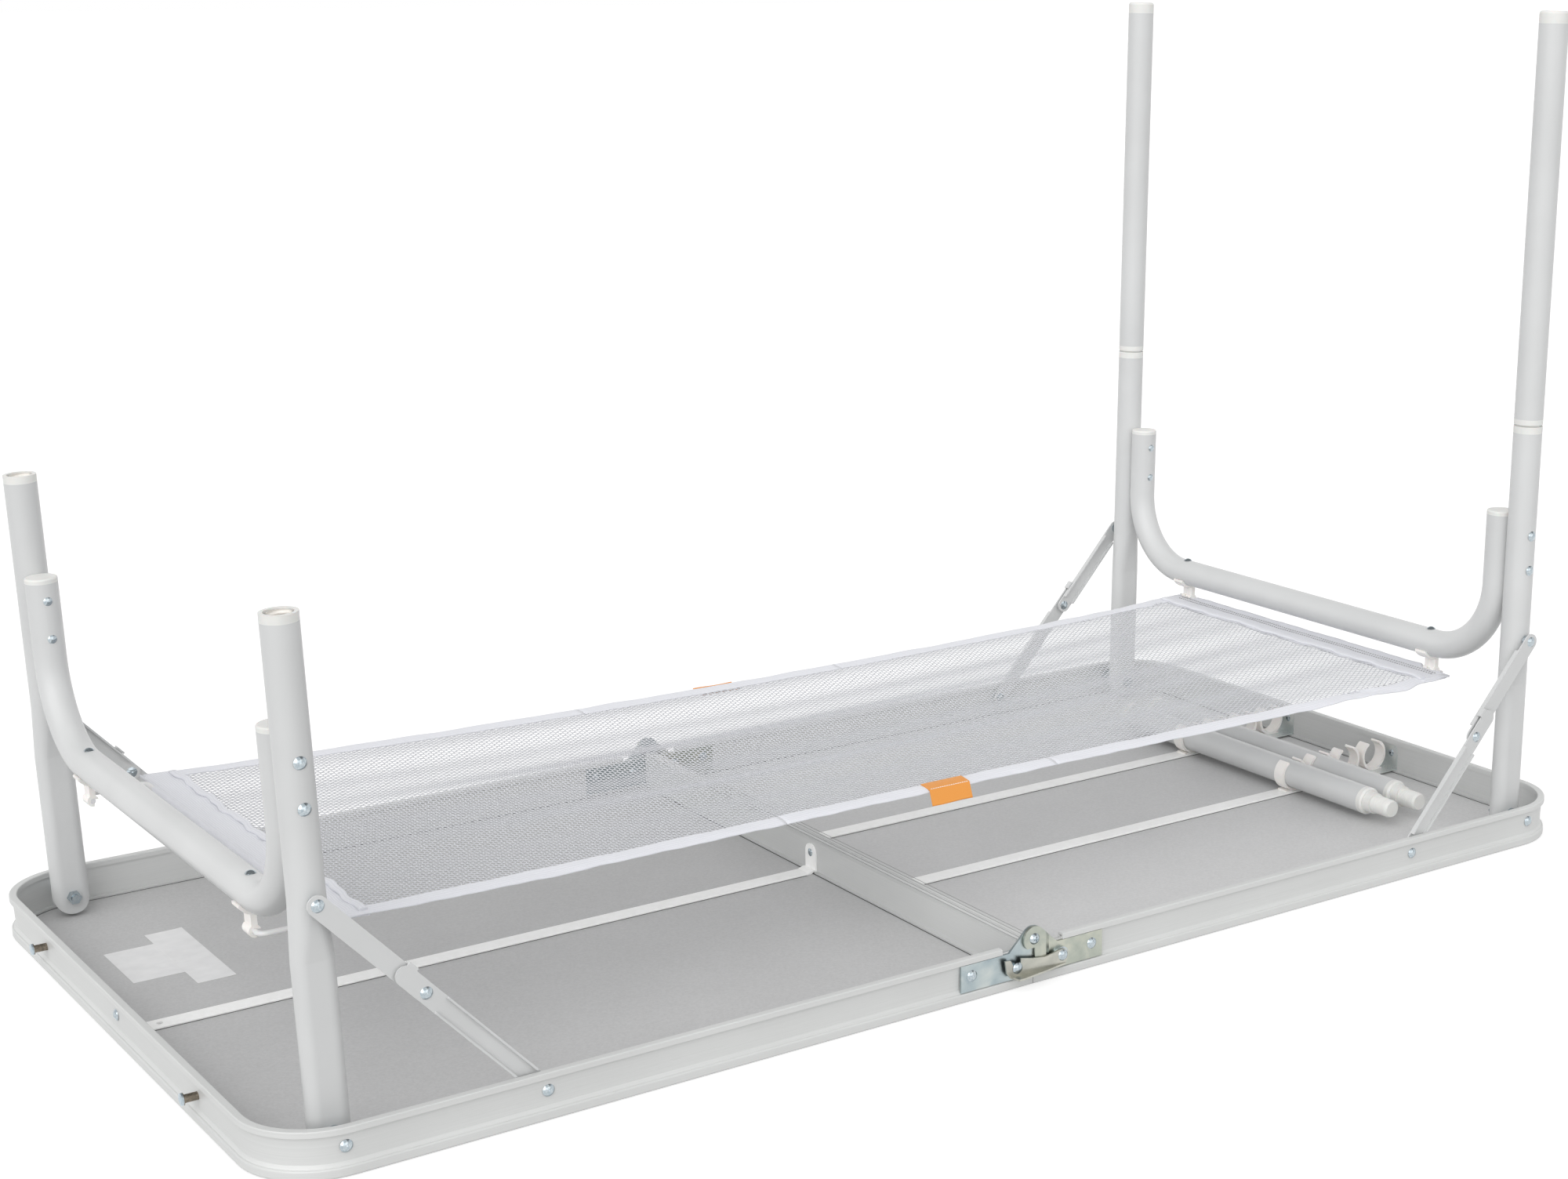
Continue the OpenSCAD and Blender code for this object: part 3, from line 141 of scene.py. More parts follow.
def paintedStrip():
    # Steel strip in a pale satin stoving enamel, faintly uneven
    made, tree, shader, place = startMaterial("paintedStrip", "F8F8F6", 0.4, Coat_Weight=0.15)
    flow = add(tree, "ShaderNodeTexNoise", {0: (place, "Object")}, Scale=160.0, Detail=2.0)
    add(tree, "ShaderNodeValToRGB", {0: (flow, 0)}, (shader, "Base Color"), [(0.3, "F6F6F4"), (0.7, "FBFBFA")])
    add(tree, "ShaderNodeBump", {"Height": (flow, 0)}, (shader, "Normal"), Strength=0.08, Distance=0.0004)
    return made


def powderCoat():
    # White polyester powder coat on steel: soft satin, an orange peel of about 1.5 mm
    made, tree, shader, place = startMaterial("whitePowderCoat", "C8C9C9", 0.38, Coat_Weight=0.2,
                                              Coat_Roughness=0.25)
    peel = add(tree, "ShaderNodeTexNoise", {0: (place, "Object")}, Scale=650.0, Detail=2.0)
    cloud = add(tree, "ShaderNodeTexNoise", {0: (place, "Object")}, Scale=14.0, Detail=2.0)
    add(tree, "ShaderNodeValToRGB", {0: (cloud, 0)}, (shader, "Base Color"), [(0.3, "C5C6C6"), (0.7, "CBCCCC")])
    add(tree, "ShaderNodeBump", {"Height": (peel, 0)}, (shader, "Normal"), Strength=0.1, Distance=0.0002)
    return made


def zincPlate(name, tints, metallic=1.0):
    # Pressed steel, zinc plated and passivated: a metal sheen that drifts between faint colours
    made, tree, shader, place = startMaterial(name, tints[1], 0.3, Metallic=metallic)
    drift = add(tree, "ShaderNodeTexNoise", {0: (place, "Object")}, Scale=55.0, Detail=3.0, Distortion=0.6)
    add(tree, "ShaderNodeValToRGB", {0: (drift, 0)}, (shader, "Base Color"), list(zip((0.3, 0.5, 0.7), tints)))
    frost = add(tree, "ShaderNodeTexNoise", {0: (place, "Object")}, Scale=900.0, Detail=2.0)
    add(tree, "ShaderNodeMapRange", {0: (frost, 0)}, (shader, "Roughness"), To_Min=0.22, To_Max=0.4)
    add(tree, "ShaderNodeBump", {"Height": (frost, 0)}, (shader, "Normal"), Strength=0.12, Distance=0.0001)
    return made


def brightZinc():
    # Cold-headed steel, bright zinc: rivets and screws, polished by barrelling
    made, tree, shader, place = startMaterial("brightZinc", "B4BFC4", 0.16, Metallic=1.0)
    scuff = add(tree, "ShaderNodeTexNoise", {0: (place, "Object")}, Scale=700.0, Detail=3.0)
    add(tree, "ShaderNodeValToRGB", {0: (scuff, 0)}, (shader, "Base Color"), [(0.3, "A4B0B8"), (0.7, "C2CACD")])
    add(tree, "ShaderNodeMapRange", {0: (scuff, 0)}, (shader, "Roughness"), To_Min=0.1, To_Max=0.2)
    return made


def hangingPin():
    # The same zinc on the pin's head, and browned bare steel on its shank
    headFrom = -0.6075  # metres along X
    made, tree, shader, place = startMaterial("hangingPinSteel", "8A8073", 0.32, Metallic=1.0)
    parts = add(tree, "ShaderNodeSeparateXYZ", {0: (place, "Object")})
    head = add(tree, "ShaderNodeMath", {0: (parts, "X")}, operation="LESS_THAN")
    head.inputs[1].default_value = headFrom
    scuff = add(tree, "ShaderNodeTexNoise", {0: (place, "Object")}, Scale=600.0, Detail=3.0)
    mix = add(tree, "ShaderNodeMix", {"Factor": (head, 0)}, data_type="RGBA")
    tree.links.new(mix.outputs[2], shader.inputs["Base Color"])
    add(tree, "ShaderNodeValToRGB", {0: (scuff, 0)}, (mix, 6), [(0.3, "6E665C"), (0.7, "9A9082")])
    add(tree, "ShaderNodeValToRGB", {0: (scuff, 0)}, (mix, 7), [(0.3, "A9B9C4"), (0.7, "CBD5DA")])
    return made


def mouldedPlastic(name, colours, roughness):
    # Injection-moulded plastic: even, slightly translucent at its edges, with a fine spark-eroded skin
    made, tree, shader, place = startMaterial(name, colours[0], roughness, Subsurface_Weight=0.08,
                                              Subsurface_Scale=0.002, IOR=1.49)
    cloud = add(tree, "ShaderNodeTexNoise", {0: (place, "Object")}, Scale=60.0, Detail=2.0)
    add(tree, "ShaderNodeValToRGB", {0: (cloud, 0)}, (shader, "Base Color"), list(zip((0.3, 0.7), colours)))
    skin = add(tree, "ShaderNodeTexNoise", {0: (place, "Object")}, Scale=1800.0, Detail=1.0)
    add(tree, "ShaderNodeBump", {"Height": (skin, 0)}, (shader, "Normal"), Strength=0.1, Distance=0.0001)
    return made


def netYarn():
    # Textured polyester yarn, warp knitted into an open net: matt, faintly bluish white
    made, tree, shader, place = startMaterial("netYarn", "CBCCD1", 0.75, Sheen_Weight=0.25, Sheen_Roughness=0.4)
    fibre = add(tree, "ShaderNodeTexNoise", {0: (place, "Object")}, Scale=2200.0, Detail=2.0)
    add(tree, "ShaderNodeValToRGB", {0: (fibre, 0)}, (shader, "Base Color"), [(0.3, "C6C7CC"), (0.7, "D1D2D6")])
    add(tree, "ShaderNodeBump", {"Height": (fibre, 0)}, (shader, "Normal"), Strength=0.4, Distance=0.0002)
    return made


def hemCloth():
    # Close-knitted polyester binding: soft bluish white, knit ribs 1.2 mm apart along its own map
    made, tree, shader, place = startMaterial("hemCloth", "D8D9DE", 0.8, Sheen_Weight=0.3, Sheen_Roughness=0.4)
    ribs = add(tree, "ShaderNodeTexWave", {0: (place, "UV")}, Scale=0.26, Distortion=1.5, Detail=2.0,
               bands_direction="Y")
    fluff = add(tree, "ShaderNodeTexNoise", {0: (place, "Object")}, Scale=1300.0, Detail=3.0)
    both = add(tree, "ShaderNodeMix", {2: (ribs, 0), 3: (fluff, 0)}, data_type="FLOAT", Factor=0.6)
    add(tree, "ShaderNodeValToRGB", {0: (both, 0)}, (shader, "Base Color"), [(0.2, "D0D1D7"), (0.8, "E0E1E6")])
    add(tree, "ShaderNodeBump", {"Height": (both, 0)}, (shader, "Normal"), Strength=0.5, Distance=0.0004)
    return made


def tabWebbing():
    # Orange woven polyester tape, satin, threads 0.6 mm apart along its own map
    made, tree, shader, place = startMaterial("tabWebbing", "E2943C", 0.55, Sheen_Weight=0.3,
                                              Sheen_Roughness=0.3)
    warp, weft = (add(tree, "ShaderNodeTexWave", {0: (place, "UV")}, Scale=0.52, Distortion=0.6,
                      bands_direction=way) for way in "XY")
    both = add(tree, "ShaderNodeMix", {2: (warp, 0), 3: (weft, 0)}, data_type="FLOAT")
    add(tree, "ShaderNodeValToRGB", {0: (both, 0)}, (shader, "Base Color"), [(0.2, "D78730"), (0.8, "E79F4C")])
    add(tree, "ShaderNodeBump", {"Height": (both, 0)}, (shader, "Normal"), Strength=0.4, Distance=0.0002)
    return made


def sewingThread():
    # Bonded polyester thread, glossy against the cloth
    made, tree, shader, place = startMaterial("sewingThread", "F4F1EC", 0.45, Sheen_Weight=0.2)
    twist = add(tree, "ShaderNodeTexNoise", {0: (place, "Object")}, Scale=2500.0, Detail=1.0)
    add(tree, "ShaderNodeValToRGB", {0: (twist, 0)}, (shader, "Base Color"), [(0.3, "E6E2DC"), (0.7, "F8F5F0")])
    return made


def stickerFilm():
    # Blank matt polyester label film, off-white, with a faint unevenness of its adhesive
    made, tree, shader, place = startMaterial("stickerFilm", "E6E6E6", 0.55, Coat_Weight=0.1)
    blot = add(tree, "ShaderNodeTexNoise", {0: (place, "Object")}, Scale=90.0, Detail=2.0)
    add(tree, "ShaderNodeValToRGB", {0: (blot, 0)}, (shader, "Base Color"), [(0.3, "E2E2E2"), (0.7, "E9E9E9")])
    return made


def paintedShade(name, tints):
    # Painted shade: a matt grey with a little dust, laid where a shadowed slot between two pieces, or the shade in
    # grooves and needle holes, looks dark
    made, tree, shader, place = startMaterial(name, tints[0], 0.9)
    dust = add(tree, "ShaderNodeTexNoise", {0: (place, "Object")}, Scale=300.0, Detail=2.0)
    add(tree, "ShaderNodeValToRGB", {0: (dust, 0)}, (shader, "Base Color"), list(zip((0.3, 0.7), tints)))
    return made


finishes = {
    "rail": satinAluminium(),
    "panel": greyLaminate("greyLaminate", ("B7B7B7", "C3C3C3")),
    # painted light: the right board's laminate is a paler copy of the left's, to brighten it where the net shades
    # it
    "panelPaintedLight": greyLaminate("greyLaminatePaintedLight", ("C3C3C3", "CECECE")),
    "strip": paintedStrip(),
    "powder": powderCoat(),
    "zincBlue": zincPlate("zincPlateBlue", ("9FACB1", "B0BBBD", "C4CAC8")),
    "zincPale": zincPlate("zincPlatePale", ("CBD3D3", "D6DBDA", "E2E4E0"), 0.65),
    "zincYellow": zincPlate("zincPlateYellow", ("9FA69D", "AFB4AA", "C2C3B6")),
    "zincGrey": zincPlate("zincPlateGrey", ("A9A9A2", "B7B7AE", "C6C5BB")),
    "bright": brightZinc(),
    "pin": hangingPin(),
    "clip": mouldedPlastic("nylonClip", ("ECE9E5", "F2EFEC"), 0.4),
    "cap": mouldedPlastic("polyethyleneCap", ("D9D9D6", "DFDFDC"), 0.45),
    "wire": mouldedPlastic("coatedWire", ("D9D9D9", "DFDFDF"), 0.4),
    "yarn": netYarn(),
    "hem": hemCloth(),
    "tab": tabWebbing(),
    "thread": sewingThread(),
    "sticker": stickerFilm(),
    # painted shadow: the dark grey of the contact shadows round the boards and under the strips
    "gap": paintedShade("paintedShade", ("4E4E4E", "646464")),
    # painted shade: the mid grey of the shade in the centre bars' grooves and in needle holes
    "recessShade": paintedShade("paintedGrooveShade", ("8E8E8E", "9A9A9A")),
}
nodeFinish = {}
for finish, names in {
    "rail": "right_frame_rail left_frame_rail right_centre_bar left_centre_bar",
    "panel": "left_top_panel",
    "panelPaintedLight": "right_top_panel",
    "strip": "right_strips left_strip",
    "powder": "right_leg_near right_leg_far left_leg_near left_leg_far right_u_bar left_u_bar "
              "right_lower_braces left_lower_braces right_upper_braces left_upper_braces "
              "extension_tube_near extension_tube_far stored_tube_1 stored_tube_2",
    "zincBlue": "left_hinge_plates",
    "zincPale": "clip_brackets",
    "zincYellow": "right_hinge_plates",
    "zincGrey": "latch_lever_near latch_lever_far",
    "bright": "hinge_screws latch_pivots latch_pins right_rail_rivets left_rail_rivets "
              "right_leg_bolts left_leg_bolts right_leg_rivets left_leg_rivets right_clip_screws "
              "left_clip_screws right_middle_rivets left_middle_rivets right_upper_rivets left_upper_rivets",
    "pin": "hanging_pins",
    "clip": "filled_clips empty_clips right_net_clips left_net_clips",
    "cap": "right_u_bar_caps left_u_bar_caps right_leg_sockets left_leg_sockets "
           "extension_ends_near extension_ends_far stored_ends_1 stored_ends_2",
    "wire": "right_net_rod left_net_rod",
    "yarn": "left_net centre_net right_net",
}.items():
    nodeFinish.update(dict.fromkeys(names.split(), finish))
for name, part in nodes.items():
    part.data.materials.clear()
    part.data.materials.append(finishes[nodeFinish[name]])
print("table: finishes on all nodes")


def meshFrom(name, points, faces, finish, uv=None, smooth=True):
    # points in millimetres, faces as an array of quads; uv is one pair per point, in millimetres
    data = bpy.data.meshes.new(name)
    data.from_pydata((points * mm).tolist(), [], faces.tolist())
    data.update()
    if uv is not None:
        layer = data.uv_layers.new(name="cloth")
        corner = np.empty(len(data.loops), np.int32)
        data.loops.foreach_get("vertex_index", corner)
        layer.data.foreach_set("uv", np.asarray(uv, np.float32)[corner].ravel())
    if smooth:
        data.shade_smooth()
    else:
        data.shade_flat()
    data.materials.append(finishes[finish])
    made = bpy.data.objects.new(name, data)
    scene.collection.objects.link(made)
    return made


def loft(name, rings, finish, uv=None, capped=True):
    # rings is an array (along, around, 3). Quads join each ring to the next, and rows of quads across
    # the first and the last ring shut the ends.
    along, around = rings.shape[:2]
    index = np.arange(along * around).reshape(along, around)
    turned = np.roll(index, -1, axis=1)
    faces = np.stack([index[:-1], turned[:-1], turned[1:], index[1:]], axis=-1).reshape(-1, 4)
    sides = len(faces)
    if capped:
        k = np.arange(around // 2 - 1)
        first, last = index[0], index[-1]
        faces = np.concatenate([faces, np.stack([first[k], first[-k - 1], first[-k - 2], first[k + 1]], -1),
                                np.stack([last[k + 1], last[-k - 2], last[-k - 1], last[k]], -1)])
    made = meshFrom(name, rings.reshape(-1, 3), faces, finish, uv)
    # the ends are flat, so that two lofts that meet show no line between them
    made.data.polygons.foreach_set("use_smooth", np.arange(len(faces)) < sides)
    return made


# The net shelf
net = {
    "left": -503.0, "right": 550.66,   # where it meets its two rods
    "near": (-190.0, -198.0), "far": (209.0, 187.0),
    "drawNear": 31.0, "drawFar": 16.0,       # how far the long edges draw in at their middle
    "height": 130.0, "sag": 14.0, "sagShares": (0.7, 0.25, 0.5),   # near edge, far edge, belly
    "crease": 1.7, "fineShare": 0.5,     # height of the lengthwise creases, and the fine ones' share
    "creases": (3.3, 6.7), "phases": (0.7, 2.1),   # how many across, wide and fine
    "winding": (0.12, 5.0), "slant": 0.35,         # how the wide ones wind and the fine ones slant
    "droop": 4.5, "droopReach": 26.0, "droopFar": 0.25,   # how far the free edges hang; the far one's share
    "droopGrowth": 1.6, "droopStart": 0.15,        # how soon it is reached, and its share at the rods
    "cellX": 6.65,          # one cell of the knitted net, along
    "rows": 73,             # cells across
    "knot": 2.0,            # length of the joined yarns between two cells
    "hole": 0.72,           # share of a cell's width that is open
    "yarn": 0.85,           # thickness of the yarn
    "underHem": 5.0,        # how far the cells go on under the hem
    "split": 130.0,         # where its end parts begin
}


def netPoint(x, v):
    # Along: a parabola's sag and a narrowing waist. Across: the middle hangs lower than the edges,
    # a few long sine creases run lengthwise, and both free edges hang down by a decaying step.
    t = (x - net["left"]) / (net["right"] - net["left"])
    hang = 4 * t * (1 - t)
    y0 = net["near"][0] * (1 - t) + net["near"][1] * t + net["drawNear"] * hang
    y1 = net["far"][0] * (1 - t) + net["far"][1] * t - net["drawFar"] * hang
    y = y0 + (y1 - y0) * v
    near, far, belly = net["sagShares"]
    z = net["height"] - net["sag"] * hang * (near * (1 - v) + far * v + belly * 4 * v * (1 - v))
    (wide, fine), (phase, finePhase), (swing, turns) = net["creases"], net["phases"], net["winding"]
    wave = np.sin(2 * np.pi * (wide * v + swing * np.sin(turns * t)) + phase)
    wave = wave + net["fineShare"] * np.sin(2 * np.pi * (fine * v - net["slant"] * t) + finePhase)
    inner = np.clip(4 * v * (1 - v), 0, 1) ** 0.5
    z = z + net["crease"] * wave * np.clip(hang, 0, 1) ** 0.7 * inner
    droop = net["droop"] * np.clip(hang * net["droopGrowth"] + net["droopStart"], 0, 1)
    z = z - droop * np.exp(-(y - y0) / net["droopReach"])
    z = z - net["droopFar"] * droop * np.exp(-(y1 - y) / net["droopReach"])
    return np.stack([x + 0 * v, y, z], axis=-1)


def netWidth(x):
    return netPoint(x, np.ones_like(x))[..., 1] - netPoint(x, np.zeros_like(x))[..., 1]


def offNet(x, v, lift):
    # a point lifted off the net along its normal, from finite differences
    stepX, stepV = 0.5, 0.5 / 300  # both about half a millimetre
    alongX = netPoint(x + stepX, v) - netPoint(x - stepX, v)
    alongV = netPoint(x, v + stepV) - netPoint(x, v - stepV)
    normal = np.cross(alongX, alongV)
    normal /= np.linalg.norm(normal, axis=-1, keepdims=True)
    return netPoint(x, v) + normal * np.asarray(lift)[..., None]


def netPart(name, x0, x1, skipLeft, skipRight):
    # Hexagonal cells on a staggered lattice. A cell's outer ring is the yarns' shared middle line, above
    # and below; its inner ring is the hole's rim. Cells share their ring's points.
    long, knot, rows = net["cellX"], net["knot"], net["rows"]
    flank = (long - knot) / 2
    ring = np.array([(-knot / 2, -0.5), (knot / 2, -0.5), (flank, 0),
                     (knot / 2, 0.5), (-knot / 2, 0.5), (-flank, 0)])
    columns = np.arange(math.floor(net["left"] / long) - 1, math.ceil(net["right"] / long) + 2)
    i, j = np.meshgrid(columns, np.arange(rows), indexing="ij")
    centres = np.concatenate([
        np.stack([i * long, j + 0.5], -1).reshape(-1, 2),
        np.stack([(i + 0.5) * long, j + 1.0], -1).reshape(-1, 2),
    ])
    keep = (centres[:, 0] >= x0 + skipLeft) & (centres[:, 0] < x1 - skipRight)
    across = centres[:, 1] / rows * netWidth(centres[:, 0])
    edge = hem["wide"] - net["underHem"]
    keep &= (across > edge) & (across < netWidth(centres[:, 0]) - edge)
    centres = centres[keep]
    outer = centres[:, None, :] + ring
    inner = (centres[:, None, :] + ring * net["hole"]).reshape(-1, 2)
    key = np.round(outer * 1000).astype(np.int64).reshape(-1, 2)
    unique, back = np.unique(key, axis=0, return_inverse=True)
    back = back.reshape(-1, 6)
    flat = unique / 1000
    half = np.full(len(flat), net["yarn"] / 2)
    points = np.concatenate([offNet(flat[:, 0], flat[:, 1] / rows, half),
                             offNet(flat[:, 0], flat[:, 1] / rows, -half),
                             offNet(inner[:, 0], inner[:, 1] / rows, np.zeros(len(inner)))])
    n = len(flat)
    rim = 2 * n + np.arange(len(inner)).reshape(-1, 6)
    nextBack, nextRim = np.roll(back, -1, 1), np.roll(rim, -1, 1)
    upper = np.stack([back, nextBack, nextRim, rim], -1).reshape(-1, 4)
    lower = np.stack([n + back, rim, nextRim, n + nextBack], -1).reshape(-1, 4)
    print("table:", name, len(centres), "cells,", 4 * len(upper), "triangles")
    return meshFrom(name, points, np.concatenate([upper, lower]), "yarn")


def wander(s, seed, size):
    # a soft unevenness along s millimetres: three sines whose lengths don't share a period
    return size * (np.sin(s / 9.7 + seed) + 0.6 * np.sin(s / 4.3 + 2.1 * seed)
                   + 0.4 * np.sin(s / 21.0 + 3.7 * seed)) / 2


def flatLoop(count, width, thick):
    # a flattened closed loop, across and up: a superellipse, its cosine and sine raised to powers under 1
    a = np.linspace(0, 2 * np.pi, count, endpoint=False)
    c, s = np.cos(a), np.sin(a)
    return width / 2 * np.sign(c) * np.abs(c) ** 0.6, thick / 2 * np.sign(s) * np.abs(s) ** 0.8


hem = {
    "wide": 15.5, "thick": 1.9, "overhang": 1.0,
    "sides": 20, "step": 4.0,
    "ruffle": 2.2, "ruffleFrom": 330.0, "ruffleOver": 200.0,   # it ruffles towards the right rod
    "bulge": 5.5, "bulgeAt": 497.0, "bulgeReach": 13.0,   # the slack that gathers before the near clip
    "edgeWander": 0.6, "widthWander": 0.05, "thickWander": 0.15, "pucker": 0.35,
}


def hemPart(name, x0, x1, side):
    # The hem's section is carried along the free edge; its width, thickness and edge wander a little
    x = np.arange(x0, x1 + 0.1, hem["step"])
    x[-1] = x1
    across, up = flatLoop(hem["sides"], hem["wide"], hem["thick"])
    xs, ws = np.meshgrid(x, across, indexing="ij")
    wavy = 1.0 + hem["ruffle"] * np.clip((x - hem["ruffleFrom"]) / hem["ruffleOver"], 0, 1)
    bulge = hem["bulge"] * np.exp(-((x - hem["bulgeAt"]) / hem["bulgeReach"]) ** 2) * (side < 0)
    shift = wander(x, 1.0 + side, hem["edgeWander"]) * wavy - bulge
    inside = hem["wide"] / 2 - hem["overhang"]
    w = inside + ws * (1 + wander(x, 5.0, hem["widthWander"])[:, None]) + shift[:, None]
    lift = up * (1 + wander(x, 8.0, hem["thickWander"])[:, None])
    lift = lift + wander(xs * 0.6 + ws * 2, 2.0 + side, hem["pucker"]) * wavy[:, None]
    v = w / netWidth(xs)
    rings = offNet(xs, v if side < 0 else 1 - v, lift)
    if side > 0:
        rings = rings[:, ::-1]
    around = np.linspace(0, 2 * hem["wide"], hem["sides"])
    uv = np.stack([xs, np.broadcast_to(around, xs.shape)], -1).reshape(-1, 2)
    return loft(name, rings, "hem", uv)


pocket = {
    "reach": 27.0, "start": 0.5, "edgeWander": 2.2, "overlap": 6.0,
    "rodRadius": 2.0, "slack": 0.9, "shut": 1.0, "easing": 4.0,
    "rows": 251, "loopSides": 14, "loopTurn": 0.86, "flapRows": 9,
    "lift": 1.15, "thinning": 0.35, "fold": 0.6, "foldAt": 0.93, "foldReach": 0.06,
    "sag": 0.4, "ripple": 0.5, "unrolled": 60.0,
    "left": {"sign": -1, "rodX": -505.4, "hugged": 170.0},   # hugged: half the length that goes round the rod
    "right": {"sign": 1, "rodX": 553.06, "hugged": 164.0},
}


def pocketPart(name, end, sign, rodX, hugged):
    # The pocket's section is a loop round the rod that closes to a flat double flap; it is carried along
    # the rod. Past the clips the loop closes too, and the seam's edge wanders.
    v = np.linspace(0, 1, pocket["rows"])
    turn = pocket["loopTurn"] * np.pi
    angle = np.linspace(-turn, turn, pocket["loopSides"])[None, :]
    flap = np.linspace(0, 1, pocket["flapRows"])[None, 1:]
    place = netPoint(np.full_like(v, end), v)[:, 1, None]
    opened = np.clip((hugged - np.abs(place)) / pocket["easing"], 0, 1)
    radius = (pocket["rodRadius"] + pocket["slack"]) * opened + pocket["shut"] * (1 - opened)
    roundRod = rodX + sign * np.cos(angle) * radius
    closed = end + sign * np.cos(angle) * pocket["shut"]
    loop = np.stack([roundRod * opened + closed * (1 - opened), np.broadcast_to(place, roundRod.shape),
                     net["height"] + np.sin(angle) * radius + wander(place, 6.0, pocket["sag"])], -1)
    reach = pocket["reach"] + wander(place, 3.0 + sign, pocket["edgeWander"])
    xs = end - sign * flap * reach - sign * pocket["start"]
    vs = np.broadcast_to(v[:, None], xs.shape)
    ripple = wander(place * 1.3 + xs, 4.0, pocket["ripple"]) * flap
    fold = pocket["fold"] * np.exp(-((flap - pocket["foldAt"]) / pocket["foldReach"]) ** 2)
    lift = pocket["lift"] - pocket["thinning"] * flap + fold
    ring = np.concatenate([offNet(xs, vs, ripple - lift)[:, ::-1], loop, offNet(xs, vs, ripple + lift)], axis=1)
    if sign < 0:
        ring = ring[:, ::-1]
    count = ring.shape[1]
    uv = np.stack([np.broadcast_to(place, (len(v), count)),
                   np.broadcast_to(np.linspace(0, pocket["unrolled"], count), (len(v), count))], -1).reshape(-1, 2)
    return loft(name, ring, "hem", uv)


stitch = {"radius": 0.3, "arch": 0.35, "sunk": 0.1, "rings": 5, "sides": 6}


def stitches(name, starts, ends, ups, finish="thread"):
    # one short thread per stitch: a low six-sided arch between two needle holes, whole arrays at once
    count, rings, sides = len(starts), stitch["rings"], stitch["sides"]
    along = np.linspace(0, 1, rings)[None, :, None]
    around = np.linspace(0, 2 * np.pi, sides, endpoint=False)[None, :, None]
    line = starts[:, None, :] * (1 - along) + ends[:, None, :] * along
    line = line + ups[:, None, :] * (np.sin(np.pi * along) * stitch["arch"] - stitch["sunk"])
    run = ends - starts
    run /= np.linalg.norm(run, axis=1, keepdims=True)
    sideways = np.cross(run, ups)
    outwards = np.cos(around) * sideways[:, None, :] + np.sin(around) * ups[:, None, :]
    points = line[:, :, None, :] + stitch["radius"] * outwards[:, None, :, :]
    index = np.arange(count * rings * sides).reshape(count, rings, sides)
    turned = np.roll(index, -1, axis=2)
    faces = np.stack([index[:, :-1], turned[:, :-1], turned[:, 1:], index[:, 1:]], -1).reshape(-1, 4)
    return meshFrom(name, points.reshape(-1, 3), faces, finish)


seam = {
    "wide": 6.5, "thick": 2.4, "lift": 1.7, "inset": 2.5,
    "span": (0.012, 0.988), "rows": 160, "sides": 14, "widthWander": 0.2, "thickWander": 0.25,
    "marks": (5.0, 9.5), "markPitch": 3.1, "markLong": 1.7, "markLift": 1.3,   # needle marks along the rod
    "markSpan": (0.03, 0.97), "markWander": 0.4,
}


def seamPart(name, end, sign):
    # The pocket's turned edge, a soft flat roll across the net: its section is carried along the rod's
    # direction, and its place, width and height wander
    v = np.linspace(*seam["span"], seam["rows"])
    y = netPoint(np.full_like(v, end), v)[:, 1]
    across, up = flatLoop(seam["sides"], seam["wide"], seam["thick"])
    middle = end - sign * (pocket["reach"] - seam["inset"] + wander(y, 3.0 + sign, pocket["edgeWander"]))
    vs, ws = np.meshgrid(v, across, indexing="ij")
    xs = middle[:, None] + ws * (1 + wander(y, 7.0, seam["widthWander"])[:, None])
    lift = seam["lift"] + up[None, :] * (1 + wander(y, 2.0, seam["thickWander"])[:, None])
    around = np.broadcast_to(np.linspace(0, 2 * seam["wide"], len(across)), xs.shape)
    uv = np.stack([np.broadcast_to(y[:, None], xs.shape), around], -1)[:, ::-1].reshape(-1, 2)
    return loft(name, offNet(xs, vs, lift)[:, ::-1], "hem", uv)


def pocketStitches(name, end, sign):
    # rows of needle marks along the rod, short threads in a mid grey: the marks are real, their grey is painted
    # shade of the needle holes
    width = float(netWidth(np.array([end]))[0])
    first, last = seam["markSpan"]
    y = np.arange(first * width, last * width, seam["markPitch"])
    lift = np.full_like(y, seam["markLift"])
    rows = [end - sign * (row + wander(y, row, seam["markWander"])) for row in seam["marks"]]
    starts = np.concatenate([offNet(x, y / width, lift) for x in rows])
    ends = np.concatenate([offNet(x, (y + seam["markLong"]) / width, lift) for x in rows])
    return stitches(name, starts, ends, np.tile([0.0, 0, 1], (len(starts), 1)), "recessShade")


underPocket = pocket["reach"] - pocket["overlap"]
parts = {
    "left": {"from": net["left"], "to": -net["split"], "skip": (underPocket, 0), "node": "left_net"},
    "centre": {"from": -net["split"], "to": net["split"], "skip": (0, 0), "node": "centre_net"},
    "right": {"from": net["split"], "to": net["right"], "skip": (0, underPocket), "node": "right_net"},
}
made = {}
for key, part in parts.items():
    made[key] = [netPart("net_" + key, part["from"], part["to"], *part["skip"])]
    for side, word in ((-1, "near"), (1, "far")):
        made[key].append(hemPart(f"net_hem_{key}_{word}", part["from"] + (key == "left"),
                                 part["to"] - (key == "right"), side))
for key in ("left", "right"):
    made[key].append(pocketPart("net_pocket_" + key, net[key], **pocket[key]))
for key in ("left", "right"):
    made[key].append(seamPart("net_seam_" + key, net[key], pocket[key]["sign"]))
made["right"].append(pocketStitches("net_marks_right", net["right"], 1))
print("table: net shelf made")


